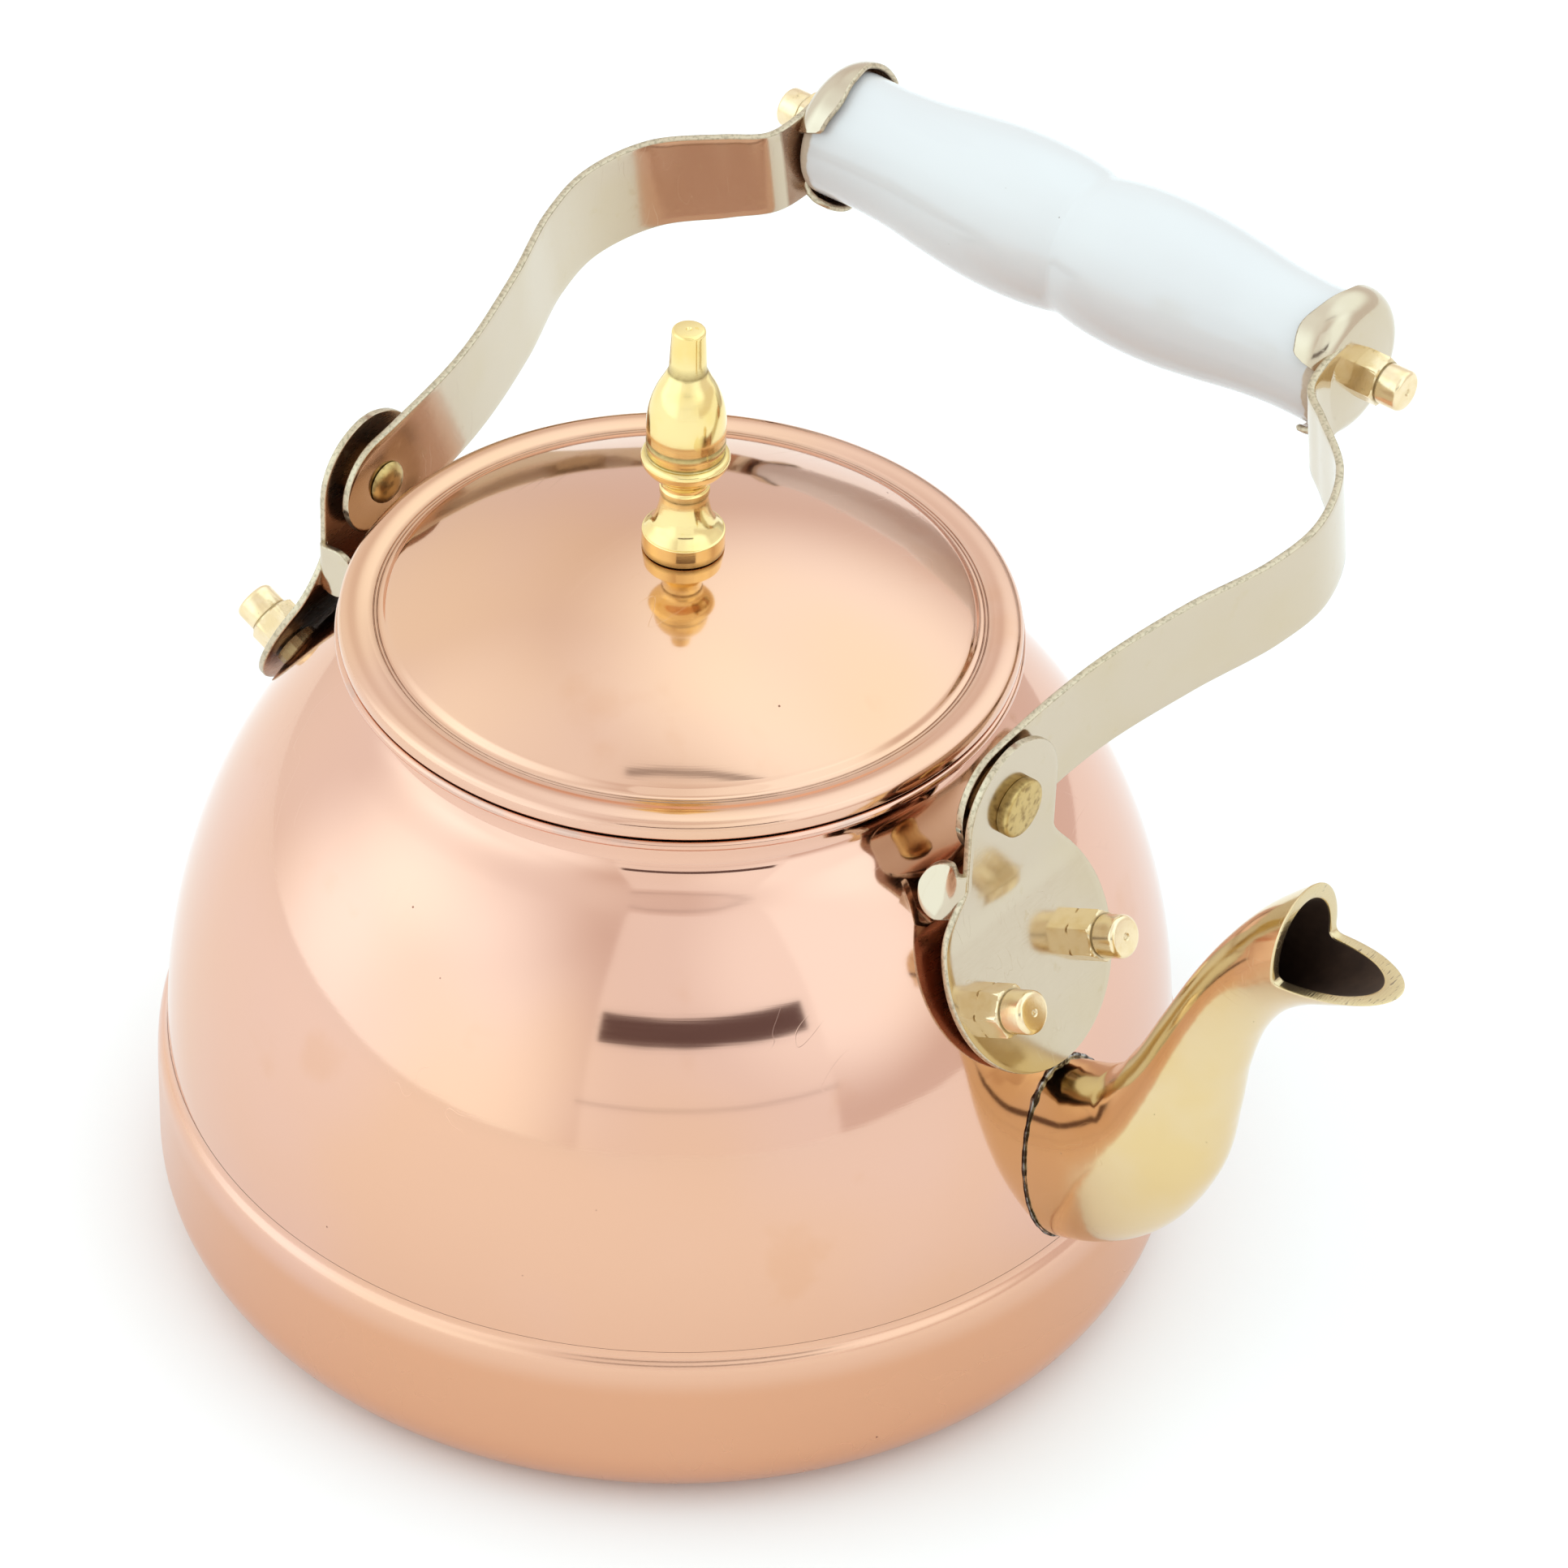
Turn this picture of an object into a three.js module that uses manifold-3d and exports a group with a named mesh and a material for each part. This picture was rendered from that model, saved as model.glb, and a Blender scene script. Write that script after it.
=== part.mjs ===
// A copper kettle with a brass gooseneck spout, a lift-off lid and a folding bail with a porcelain grip.
// Millimetres, +Z up. The origin is the centre of the base, on the plane the kettle stands on, and
// the spout points along +X. The bail is drawn folded back onto its stops on the +Y side.

import * as THREE from 'three';
import { mergeVertices } from 'three/addons/utils/BufferGeometryUtils.js';
import Module from 'manifold-3d';

const wasm = await Module();
wasm.setup();

// ---------------------------------------------------------------- driving dimensions

const gap = 0.3; // left between neighbouring pieces

const base = { radius: 92, height: 36, corner: 14, wall: 1.6 };

const dome = {
  radius: base.radius - base.wall - gap,
  skirtBottom: 24,
  wall: 1.2,
  shoulderRadius: 61,
  shoulderTop: 108.5,
  neckRadius: 54,
  neckTop: 116.5,
};

const lip = { centre: 55.2, height: 123.6, radius: 2.2 };

const lid = {
  radius: 59,
  edge: 124,
  rimTop: 127.6,
  grooveRadius: 53,
  groove: 126.9,
  seat: 141.2,
  sheet: 1.1,
  skirtRadius: 52.2,
  skirtBottom: 111,
};

const screw = { radius: 2, clearance: 2.4 };

// the spout's centre line in the XZ plane, with the half height and half width of its section
const spout = {
  stations: [
    [76, 54, 17.6, 12],
    [88, 54.8, 17.4, 12.2],
    [98, 60, 15.8, 12.8],
    [106, 69.5, 13, 12.2],
    [110.3, 81, 10.4, 10.3],
    [113.5, 92.5, 8.5, 8.6],
    [117.8, 104.5, 7.5, 7.7],
    [123, 113.8, 7.7, 7.8],
    [129.5, 121.5, 8.9, 9],
    [138, 128.3, 10.4, 10.6],
    [143.8, 132.3, 11.2, 11.8],
  ],
  wall: 2.2,
  notch: [131, 121],
  backPeak: [130.2, 137],
  frontTip: [151, 124.4],
};

const solder = { height: 1, width: 1.5 };

const pivot = { height: 122, bore: 2.75, shank: 2.4, head: 5.3, headHeight: 2.2 };

const bracket = {
  face: 72, // outer face of the ear, from the kettle's axis
  sheet: 1.3,
  bendHeight: 103.6,
  lean: THREE.MathUtils.degToRad(26),
  earRadius: 12.2,
  neckHalfWidth: 15.2,
  padRadius: 21,
  padCentre: 12, // below the bend, along the pad
  tabLength: 9,
  tabBottom: 104.4,
  tabTop: 114,
  boltDrop: 16, // below the bend, along the pad
  boltSide: 13,
};

const bolt = { shank: 2.4, bore: 2.75, head: 5.5, headHeight: 1.8, grip: 6.3, reach: 6.6 };

const nut = { acrossFlats: 8.2, hexHeight: 5, capRadius: 3.8, capHeight: 4.8, bore: 2.75, depth: 7.4 };

const bail = {
  foldedBack: THREE.MathUtils.degToRad(80), // from upright, towards +Y
  sheet: 1.4,
  width: 20,
  pivotX: 67.9,
  rodHeight: 118.2, // above the pivots
  cupX: 58.2, // inner face of the cup's disc
  cupRadius: 14.2,
  cupDepth: 5.5,
  cupOpening: THREE.MathUtils.degToRad(104),
};

const grip = { halfLength: 57.7, endRadius: 12.1, swellRadius: 15.1, swellAt: 17, waistRadius: 13.8, bore: 3.3 };

const rod = { radius: 2.5, bore: 2.9, halfLength: 66 };

const finishes = {
  copper: { color: 0xe8a986, roughness: 0.16, metalness: 1 },
  knobBrass: { color: 0xf0c95c, roughness: 0.14, metalness: 1 },
  castBrass: { color: 0xe6cf94, roughness: 0.18, metalness: 1 },
  sheetBrass: { color: 0xd9d3b6, roughness: 0.24, metalness: 1 },
  turnedBrass: { color: 0xdcc078, roughness: 0.22, metalness: 1 },
  porcelain: { color: 0xf1f3f5, roughness: 0.12, metalness: 0 },
  tin: { color: 0xa7a5a0, roughness: 0.45, metalness: 1 },
};

// ---------------------------------------------------------------- solids

const xAxis = new THREE.Vector3(1, 0, 0);
const yAxis = new THREE.Vector3(0, 1, 0);
const zAxis = new THREE.Vector3(0, 0, 1);

// Closed geometry as a solid that can be joined and cut.
function solid(geometry) {
  const bare = geometry.clone();
  bare.deleteAttribute('normal');
  bare.deleteAttribute('uv');
  const merged = mergeVertices(bare, 1e-4);
  const result = new wasm.Manifold(new wasm.Mesh({
    numProp: 3,
    vertProperties: new Float32Array(merged.attributes.position.array),
    triVerts: new Uint32Array(merged.index.array),
  }));
  if (result.volume() < 0) throw new Error('faces point inwards');
  return result;
}

// The geometry of a solid, ready for a mesh.
function geometryOf(body) {
  const mesh = body.getMesh();
  const geometry = new THREE.BufferGeometry();
  geometry.setAttribute('position', new THREE.BufferAttribute(new Float32Array(mesh.vertProperties), 3));
  geometry.setIndex(new THREE.BufferAttribute(new Uint32Array(mesh.triVerts), 1));
  geometry.computeVertexNormals();
  return geometry;
}

// A profile of (radius, height) points turned round +Z.
function turned(profile, segments = 36) {
  return new THREE.LatheGeometry(profile, segments).rotateX(Math.PI / 2);
}

// A shape drawn in the plane of two axes, given thickness along the third, from one place to another.
function plate(shape, across, up, from, to, curveSegments = 8) {
  const geometry = new THREE.ExtrudeGeometry(shape, { depth: to - from, bevelEnabled: false, curveSegments });
  const out = new THREE.Vector3().crossVectors(across, up);
  geometry.translate(0, 0, from);
  return geometry.applyMatrix4(new THREE.Matrix4().makeBasis(across, up, out));
}

// A round bar along an axis of a placing matrix, standing on its origin.
function bar(radius, from, to, segments = 16) {
  return turned([
    new THREE.Vector2(0, from),
    new THREE.Vector2(radius, from),
    new THREE.Vector2(radius, to),
    new THREE.Vector2(0, to),
  ], segments);
}

// A ring with a square section, standing along +Z.
function ring(inner, outer, from, to, segments = 16) {
  return turned([
    new THREE.Vector2(inner, from),
    new THREE.Vector2(outer, from),
    new THREE.Vector2(outer, to),
    new THREE.Vector2(inner, to),
    new THREE.Vector2(inner, from),
  ], segments);
}

// A line of profile points moved sideways; positive goes away from the axis on a line drawn upwards.
function offset(points, distance) {
  return points.map((point, i) => {
    const before = points[Math.max(i - 1, 0)];
    const after = points[Math.min(i + 1, points.length - 1)];
    const along = after.clone().sub(before).normalize();
    return new THREE.Vector2(point.x + along.y * distance, point.y - along.x * distance);
  });
}

function mesh(name, geometry, finish) {
  const result = new THREE.Mesh(geometry, new THREE.MeshStandardMaterial(finishes[finish]));
  result.name = name;
  return result;
}

// ---------------------------------------------------------------- body

// Outside of the dome from its skirt up to the foot of the lip.
function domeLine() {
  const line = new THREE.Path();
  line.moveTo(dome.radius, dome.skirtBottom);
  line.lineTo(dome.radius, base.height);
  line.bezierCurveTo(dome.radius, 62, 81.5, 91, dome.shoulderRadius, dome.shoulderTop);
  line.bezierCurveTo(57.5, 111.5, dome.neckRadius, 113, dome.neckRadius, dome.neckTop);
  line.lineTo(lip.centre, lip.height - lip.radius);
  return line.getPoints(4);
}

// Everything within a distance of the dome's outside, as one filled solid.
function domeSpace(distance) {
  const outside = offset(domeLine(), distance);
  const first = outside[0];
  const last = outside[outside.length - 1];
  return solid(turned([new THREE.Vector2(0, first.y), ...outside, new THREE.Vector2(0, last.y)]));
}

function domeShell() {
  const outside = domeLine();
  const inside = offset(outside, -dome.wall).slice(0, -1).reverse();
  const bead = new THREE.Path();
  bead.absarc(lip.centre, lip.height, lip.radius, -0.3 * Math.PI, 1.0 * Math.PI);
  const innerLip = new THREE.Vector2(dome.neckRadius - dome.wall, lip.height - lip.radius);
  const profile = [...outside, ...bead.getPoints(3), innerLip, ...inside, outside[0]];
  return solid(turned(profile));
}

function basePan() {
  const { radius, height, corner, wall } = base;
  const line = new THREE.Path();
  line.moveTo(0, 0);
  line.lineTo(radius - corner, 0);
  line.absarc(radius - corner, corner, corner, -Math.PI / 2, 0);
  line.lineTo(radius, height - wall / 2);
  line.lineTo(radius - wall / 2, height);
  line.lineTo(radius - wall, height);
  line.lineTo(radius - wall, corner);
  line.absarc(radius - corner, corner, corner - wall, 0, -Math.PI / 2, true);
  line.lineTo(0, wall);
  return turned(line.getPoints(3));
}

// ---------------------------------------------------------------- spout

// A closed cylinder bent along the spout's centre line, grown or shrunk by a distance.
function spoutForm(growth, sides) {
  const { stations } = spout;
  const path = new THREE.CatmullRomCurve3(stations.map(([x, z]) => new THREE.Vector3(x, 0, z)));
  const section = new THREE.CatmullRomCurve3(stations.map(([, , high, wide]) => new THREE.Vector3(high, wide, 0)));
  const geometry = new THREE.CylinderGeometry(1, 1, 1, sides, 16);
  const corner = geometry.attributes.position;
  for (let i = 0; i < corner.count; i += 1) {
    const t = corner.getY(i) + 0.5;
    const along = path.getTangent(t);
    const across = new THREE.Vector3(-along.z, 0, along.x);
    const size = section.getPoint(t);
    const place = path.getPoint(t)
      .addScaledVector(across, corner.getX(i) * (size.x + growth))
      .addScaledVector(yAxis, corner.getZ(i) * (size.y + growth));
    corner.setXYZ(i, place.x, place.y, place.z);
  }
  return solid(geometry);
}

// What the file takes off at the mouth: a steep cut at the back that meets a flat cut to the lip.
function mouthCut() {
  const [notch, back, front] = [spout.notch, spout.backPeak, spout.frontTip]
    .map(([x, z]) => new THREE.Vector2(x, z));
  const beyond = 3;
  const shape = new THREE.Shape([
    notch,
    front.clone().sub(notch).multiplyScalar(beyond).add(notch),
    front.clone().sub(notch).multiplyScalar(beyond).add(back).add(new THREE.Vector2(0, 40)),
    back.clone().sub(notch).multiplyScalar(beyond).add(notch),
  ]);
  return solid(plate(shape, xAxis, zAxis, -30, 30));
}

function spoutBody() {
  return spoutForm(0, 18)
    .subtract(spoutForm(-spout.wall, 14))
    .subtract(mouthCut())
    .subtract(domeSpace(gap));
}

// The bead of solder where the spout meets the dome.
function spoutSolder() {
  return domeSpace(gap + solder.height)
    .subtract(domeSpace(gap))
    .intersect(spoutForm(gap + solder.width, 18))
    .subtract(spoutForm(gap, 18));
}

// ---------------------------------------------------------------- brackets

// A frame on the pad's outer face: origin on the bend, +Y sideways, +Z out of the face.
function padFrame() {
  const outwards = new THREE.Vector3(Math.cos(bracket.lean), 0, Math.sin(bracket.lean));
  const upwards = new THREE.Vector3(-Math.sin(bracket.lean), 0, Math.cos(bracket.lean));
  return new THREE.Matrix4()
    .makeBasis(yAxis, upwards, outwards)
    .setPosition(bracket.face, 0, bracket.bendHeight);
}

// The pad's frame moved to one of its two bolts.
function boltFrame(side) {
  const shift = new THREE.Matrix4().makeTranslation(side * bracket.boltSide, -bracket.boltDrop, 0);
  return padFrame().multiply(shift);
}

// The pivot's frame: +Z runs out along the rivet from the kettle's axis.
function pivotFrame() {
  return new THREE.Matrix4().makeBasis(yAxis, zAxis, xAxis).setPosition(0, 0, pivot.height);
}

function earShape() {
  const { bendHeight, earRadius, neckHalfWidth, tabTop, padRadius, padCentre } = bracket;
  const halfBend = Math.sqrt(padRadius ** 2 - padCentre ** 2);
  const overlap = 0.6; // runs down into the pad so that the two join
  const shape = new THREE.Shape();
  shape.moveTo(halfBend, bendHeight - overlap);
  shape.lineTo(halfBend, bendHeight);
  shape.lineTo(neckHalfWidth, bendHeight + 1.2);
  shape.lineTo(neckHalfWidth, tabTop);
  shape.quadraticCurveTo(earRadius, tabTop + 2.5, earRadius, pivot.height);
  shape.absarc(0, pivot.height, earRadius, 0, Math.PI);
  shape.quadraticCurveTo(-earRadius, tabTop + 2.5, -neckHalfWidth, tabTop);
  shape.lineTo(-neckHalfWidth, bendHeight + 1.2);
  shape.lineTo(-halfBend, bendHeight);
  shape.lineTo(-halfBend, bendHeight - overlap);
  return shape;
}

function padShape() {
  const { padRadius, padCentre } = bracket;
  const open = Math.acos(padCentre / padRadius);
  const shape = new THREE.Shape();
  shape.absarc(0, -padCentre, padRadius, Math.PI / 2 + open, Math.PI / 2 - open + 2 * Math.PI);
  return shape;
}

// The stop tab: a round-ended tongue turned in from the ear's edge.
function tabShape() {
  const { face, tabLength, tabBottom, tabTop } = bracket;
  const radius = (tabTop - tabBottom) / 2;
  const centre = face - tabLength + radius;
  const shape = new THREE.Shape();
  shape.moveTo(face, tabBottom);
  shape.lineTo(face, tabTop);
  shape.lineTo(centre, tabTop);
  shape.absarc(centre, tabBottom + radius, radius, Math.PI / 2, 1.5 * Math.PI);
  return shape;
}

function bracketBody() {
  const { face, sheet, neckHalfWidth } = bracket;
  let body = solid(plate(earShape(), yAxis, zAxis, face - sheet, face));
  const pad = new THREE.ExtrudeGeometry(padShape(), { depth: sheet, bevelEnabled: false, curveSegments: 10 });
  body = body.add(solid(pad.translate(0, 0, -sheet).applyMatrix4(padFrame())));
  for (const side of [-1, 1]) {
    const outer = neckHalfWidth * side;
    const [low, high] = [outer, outer - sheet * side].sort((a, b) => a - b);
    // across X and up Z leave the thickness running along -Y
    body = body.add(solid(plate(tabShape(), xAxis, zAxis, -high, -low, 6)));
    body = body.subtract(solid(bar(bolt.bore, -4, 4).applyMatrix4(boltFrame(side))));
  }
  return body.subtract(solid(bar(pivot.bore, face - 5, face + 5).applyMatrix4(pivotFrame())));
}

// A bolt with a round head inside the kettle and its shank out through the wall, spacer and pad.
function boltBody() {
  const { shank, head, headHeight, grip: depth, reach } = bolt;
  return turned([
    new THREE.Vector2(0, -depth - headHeight),
    new THREE.Vector2(head - 1, -depth - headHeight),
    new THREE.Vector2(head, -depth - headHeight + 0.9),
    new THREE.Vector2(head, -depth),
    new THREE.Vector2(shank, -depth),
    new THREE.Vector2(shank, reach),
    new THREE.Vector2(0, reach),
  ], 14);
}

// A cap nut standing on +Z: a hexagon with a shorter round cap, and a blind thread from below.
function capNut() {
  const { acrossFlats, hexHeight, capRadius, capHeight, bore, depth } = nut;
  const hex = new THREE.CylinderGeometry(acrossFlats / Math.sqrt(3), acrossFlats / Math.sqrt(3), hexHeight, 6);
  hex.rotateX(Math.PI / 2).translate(0, 0, hexHeight / 2);
  const top = hexHeight + capHeight;
  const cap = turned([
    new THREE.Vector2(0, 1),
    new THREE.Vector2(capRadius, 1),
    new THREE.Vector2(capRadius, top - 0.8),
    new THREE.Vector2(capRadius - 0.8, top),
    new THREE.Vector2(0, top),
  ], 16);
  return geometryOf(solid(hex).add(solid(cap)).subtract(solid(bar(bore, -1, depth, 12))));
}

// A short sleeve between the pad and the dome, filed to the dome's curve.
function spacerBody(side) {
  const sleeve = solid(ring(bolt.bore, 4.2, -6, -bracket.sheet - gap).applyMatrix4(boltFrame(side)));
  return sleeve.subtract(domeSpace(gap));
}

function rivetBody() {
  const { shank, head, headHeight } = pivot;
  const inner = bail.pivotX - bail.sheet / 2 - gap;
  const outer = bracket.face + gap;
  return turned([
    new THREE.Vector2(0, inner - 1.5),
    new THREE.Vector2(3, inner - 1.5),
    new THREE.Vector2(3.9, inner - 0.7),
    new THREE.Vector2(3.9, inner),
    new THREE.Vector2(shank, inner),
    new THREE.Vector2(shank, outer),
    new THREE.Vector2(head, outer),
    new THREE.Vector2(head, outer + headHeight - 0.6),
    new THREE.Vector2(head - 0.6, outer + headHeight),
    new THREE.Vector2(0, outer + headHeight),
  ], 16);
}

function pivotWasher() {
  const strapFace = bail.pivotX + bail.sheet / 2;
  const earFace = bracket.face - bracket.sheet;
  return ring(pivot.bore, 5.6, strapFace + gap, earFace - gap);
}

// ---------------------------------------------------------------- bail

// One strap and its cup, upright, on the +X side, measured from the pivots.
function strapLine() {
  const cupMiddle = bail.cupX + bail.sheet / 2;
  return new THREE.CatmullRomCurve3([
    [bail.pivotX, -12],
    [bail.pivotX, 6],
    [69.6, 26],
    [74.6, 46],
    [80.4, 63],
    [81.6, 75],
    [77, 87.5],
    [67, 96.5],
    [60.6, 102],
    [cupMiddle, 108.5],
    [cupMiddle, 116],
  ].map(([x, h]) => new THREE.Vector3(x, h, 0)), false, 'centripetal').getPoints(24);
}

function strapBody() {
  const { sheet, width, cupX, cupRadius, cupDepth, cupOpening, rodHeight } = bail;
  const line = strapLine().map((point) => new THREE.Vector2(point.x, point.y));
  const outline = [...offset(line, sheet / 2), ...offset(line, -sheet / 2).reverse()];
  let body = solid(plate(new THREE.Shape(outline), xAxis, zAxis, -width / 2, width / 2));

  // the strap's flat outline: a round end about the pivot and straight sides
  const face = new THREE.Shape();
  face.absarc(0, 0, width / 2, Math.PI, 2 * Math.PI);
  face.lineTo(width / 2, rodHeight);
  face.lineTo(-width / 2, rodHeight);
  body = body.intersect(solid(plate(face, yAxis, zAxis, 0, 100)));

  // the cup: a disc with its edge turned in round the grip, open where the strap comes in
  const rodFrame = new THREE.Matrix4().makeBasis(yAxis, zAxis, xAxis).setPosition(0, 0, rodHeight);
  const flange = solid(ring(cupRadius - sheet, cupRadius, cupX - cupDepth, cupX + sheet / 2, 28)
    .applyMatrix4(rodFrame));
  const opening = new THREE.Shape();
  opening.moveTo(0, rodHeight);
  opening.lineTo(-40 * Math.sin(cupOpening / 2), rodHeight - 40 * Math.cos(cupOpening / 2));
  opening.lineTo(40 * Math.sin(cupOpening / 2), rodHeight - 40 * Math.cos(cupOpening / 2));
  body = body
    .add(solid(bar(cupRadius, cupX, cupX + sheet, 28).applyMatrix4(rodFrame)))
    .add(flange.subtract(solid(plate(opening, yAxis, zAxis, 0, cupX))));

  const rivetHole = solid(bar(pivot.bore, 50, 90)
    .applyMatrix4(new THREE.Matrix4().makeBasis(yAxis, zAxis, xAxis)));
  return body
    .subtract(rivetHole)
    .subtract(solid(bar(rod.bore, 40, 80).applyMatrix4(rodFrame)));
}

// The grip, turned about the rod: two swellings with a waist between them and a bore for the rod.
function gripBody() {
  const { halfLength, endRadius, swellRadius, swellAt, waistRadius, bore } = grip;
  const half = new THREE.CatmullRomCurve3([
    [waistRadius, 0],
    [waistRadius + 0.5, 4],
    [swellRadius, swellAt],
    [endRadius + 1.1, 32],
    [endRadius - 0.1, 45],
    [endRadius, halfLength - 1],
  ].map(([r, x]) => new THREE.Vector3(r, x, 0))).getPoints(6)
    .map((point) => new THREE.Vector2(point.x, point.y));
  const mirrored = half.slice(1).reverse().map((point) => new THREE.Vector2(point.x, -point.y));
  return turned([
    new THREE.Vector2(bore, -halfLength),
    new THREE.Vector2(endRadius - 0.9, -halfLength),
    ...mirrored,
    ...half,
    new THREE.Vector2(endRadius - 0.9, halfLength),
    new THREE.Vector2(bore, halfLength),
    new THREE.Vector2(bore, -halfLength),
  ], 24);
}

// ---------------------------------------------------------------- lid

// Top of the lid from the knob's hole out over the dome, the groove and the rim to its edge.
function lidLine() {
  const { radius, edge, rimTop, grooveRadius, groove, seat } = lid;
  const rise = seat - groove;
  const crown = (grooveRadius ** 2 + rise ** 2) / (2 * rise);
  const start = Math.asin(screw.clearance / crown);
  const end = Math.asin(grooveRadius / crown);
  const line = new THREE.Path();
  line.absarc(0, seat - crown, crown, Math.PI / 2 - start, Math.PI / 2 - end, true);
  line.lineTo(grooveRadius + 0.8, groove + 0.5);
  line.bezierCurveTo(grooveRadius + 3, rimTop + 0.3, radius, rimTop + 0.2, radius, edge + 1.2);
  line.lineTo(radius, edge);
  return line.getPoints(3);
}

function lidCap() {
  // the line runs outwards, so its right-hand side is the underside
  const top = lidLine();
  const under = offset(top, lid.sheet).map((point) => new THREE.Vector2(point.x, Math.max(point.y, lid.edge)));
  const straight = under.map((point) => new THREE.Vector2(Math.max(point.x, screw.clearance), point.y));
  return turned([...straight, ...top.reverse(), straight[0]]);
}

function lidSkirt() {
  const { skirtRadius, skirtBottom, groove, sheet } = lid;
  const top = groove - sheet - gap - 0.5;
  return turned([
    new THREE.Vector2(skirtRadius - 1, skirtBottom),
    new THREE.Vector2(skirtRadius, skirtBottom),
    new THREE.Vector2(skirtRadius, top - 1),
    new THREE.Vector2(skirtRadius - 1, top),
    new THREE.Vector2(skirtRadius - 5, top + 1),
    new THREE.Vector2(skirtRadius - 5, top),
    new THREE.Vector2(skirtRadius - 1, top - 1.2),
    new THREE.Vector2(skirtRadius - 1, skirtBottom),
  ]);
}

// The acorn knob: flared foot, thin neck, flange, acorn and a plain pin on top.
function knobBody() {
  const foot = lid.seat + gap;
  const line = new THREE.Path();
  line.moveTo(screw.clearance, foot);
  line.lineTo(6.6, foot);
  line.lineTo(6.6, foot + 1.2);
  line.quadraticCurveTo(8.1, foot + 4, 6.4, foot + 7.4);
  line.quadraticCurveTo(3.6, foot + 11, 3.7, foot + 14.4);
  line.quadraticCurveTo(4.2, foot + 17.2, 7.6, foot + 19);
  line.lineTo(7.8, foot + 20.6);
  line.lineTo(6.4, foot + 22.2);
  line.bezierCurveTo(7, foot + 29, 6.4, foot + 34, 3.2, foot + 36.6);
  line.lineTo(3.2, foot + 43.6);
  line.lineTo(2.6, foot + 44.4);
  line.lineTo(0, foot + 44.4);
  line.lineTo(0, foot + 12);
  line.lineTo(screw.clearance, foot + 12);
  line.lineTo(screw.clearance, foot);
  return turned(line.getPoints(3), 20);
}

function knobWasher() {
  const under = lid.seat - lid.sheet - 2 * gap;
  return ring(screw.clearance, 5.4, under - 1.4, under);
}

function knobScrew() {
  const head = lid.seat - lid.sheet - 3 * gap - 1.4;
  return turned([
    new THREE.Vector2(0, head - 2.4),
    new THREE.Vector2(3.4, head - 2.4),
    new THREE.Vector2(4.2, head - 1.4),
    new THREE.Vector2(4.2, head),
    new THREE.Vector2(screw.radius, head),
    new THREE.Vector2(screw.radius, lid.seat + 11),
    new THREE.Vector2(0, lid.seat + 11),
  ], 14);
}

// ---------------------------------------------------------------- assembly

const kettle = new THREE.Group();

function buildBody() {
  let shell = domeShell().subtract(spoutForm(-spout.wall, 14));
  for (const turn of [0, Math.PI]) {
    for (const side of [-1, 1]) {
      const frame = new THREE.Matrix4().makeRotationZ(turn).multiply(boltFrame(side));
      shell = shell.subtract(solid(bar(bolt.bore, -14, 4).applyMatrix4(frame)));
    }
  }
  kettle.add(
    mesh('base_pan', basePan(), 'copper'),
    mesh('body_dome', geometryOf(shell), 'copper'),
    mesh('spout', geometryOf(spoutBody()), 'castBrass'),
    mesh('spout_solder', geometryOf(spoutSolder()), 'tin'),
  );
}

// Each end carries one bracket, its bolts, nuts and spacers, and the pivot rivet and washer.
function buildBracket(end, turn) {
  const group = new THREE.Group();
  group.rotation.z = turn;
  group.add(
    mesh(`${end}_bracket`, geometryOf(bracketBody()), 'sheetBrass'),
    mesh(`${end}_pivot_rivet`, rivetBody().applyMatrix4(pivotFrame()), 'turnedBrass'),
    mesh(`${end}_pivot_washer`, pivotWasher().applyMatrix4(pivotFrame()), 'turnedBrass'),
  );
  for (const [hand, side] of [['right', -1], ['left', 1]]) {
    const raised = boltFrame(side).multiply(new THREE.Matrix4().makeTranslation(0, 0, gap));
    group.add(
      mesh(`${end}_bolt_${hand}`, boltBody().applyMatrix4(boltFrame(side)), 'turnedBrass'),
      mesh(`${end}_spacer_${hand}`, geometryOf(spacerBody(side)), 'turnedBrass'),
      mesh(`${end}_cap_nut_${hand}`, capNut().applyMatrix4(raised), 'turnedBrass'),
    );
  }
  kettle.add(group);
}

function buildBail() {
  const group = new THREE.Group();
  group.position.z = pivot.height;
  group.rotation.x = -bail.foldedBack;
  for (const [end, turn] of [['front', 0], ['rear', Math.PI]]) {
    const half = new THREE.Group();
    half.rotation.z = turn;
    const nutSeat = new THREE.Matrix4()
      .makeBasis(yAxis, zAxis, xAxis)
      .setPosition(bail.cupX + bail.sheet + gap, 0, bail.rodHeight);
    half.add(
      mesh(`${end}_strap`, geometryOf(strapBody()), 'sheetBrass'),
      mesh(`${end}_rod_nut`, capNut().applyMatrix4(nutSeat), 'turnedBrass'),
    );
    group.add(half);
  }
  const alongRod = new THREE.Matrix4().makeBasis(yAxis, zAxis, xAxis).setPosition(0, 0, bail.rodHeight);
  group.add(
    mesh('tie_rod', bar(rod.radius, -rod.halfLength, rod.halfLength).applyMatrix4(alongRod), 'turnedBrass'),
    mesh('grip', gripBody().applyMatrix4(alongRod), 'porcelain'),
  );
  kettle.add(group);
}

function buildLid() {
  kettle.add(
    mesh('lid_cap', lidCap(), 'copper'),
    mesh('lid_skirt', lidSkirt(), 'copper'),
    mesh('knob', knobBody(), 'knobBrass'),
    mesh('knob_washer', knobWasher(), 'turnedBrass'),
    mesh('knob_screw', knobScrew(), 'turnedBrass'),
  );
}

buildBody();
buildBracket('front', 0);
buildBracket('rear', Math.PI);
buildBail();
buildLid();

export default kettle;
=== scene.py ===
import bmesh
import bpy
import numpy as np
from mathutils import Matrix


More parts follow.
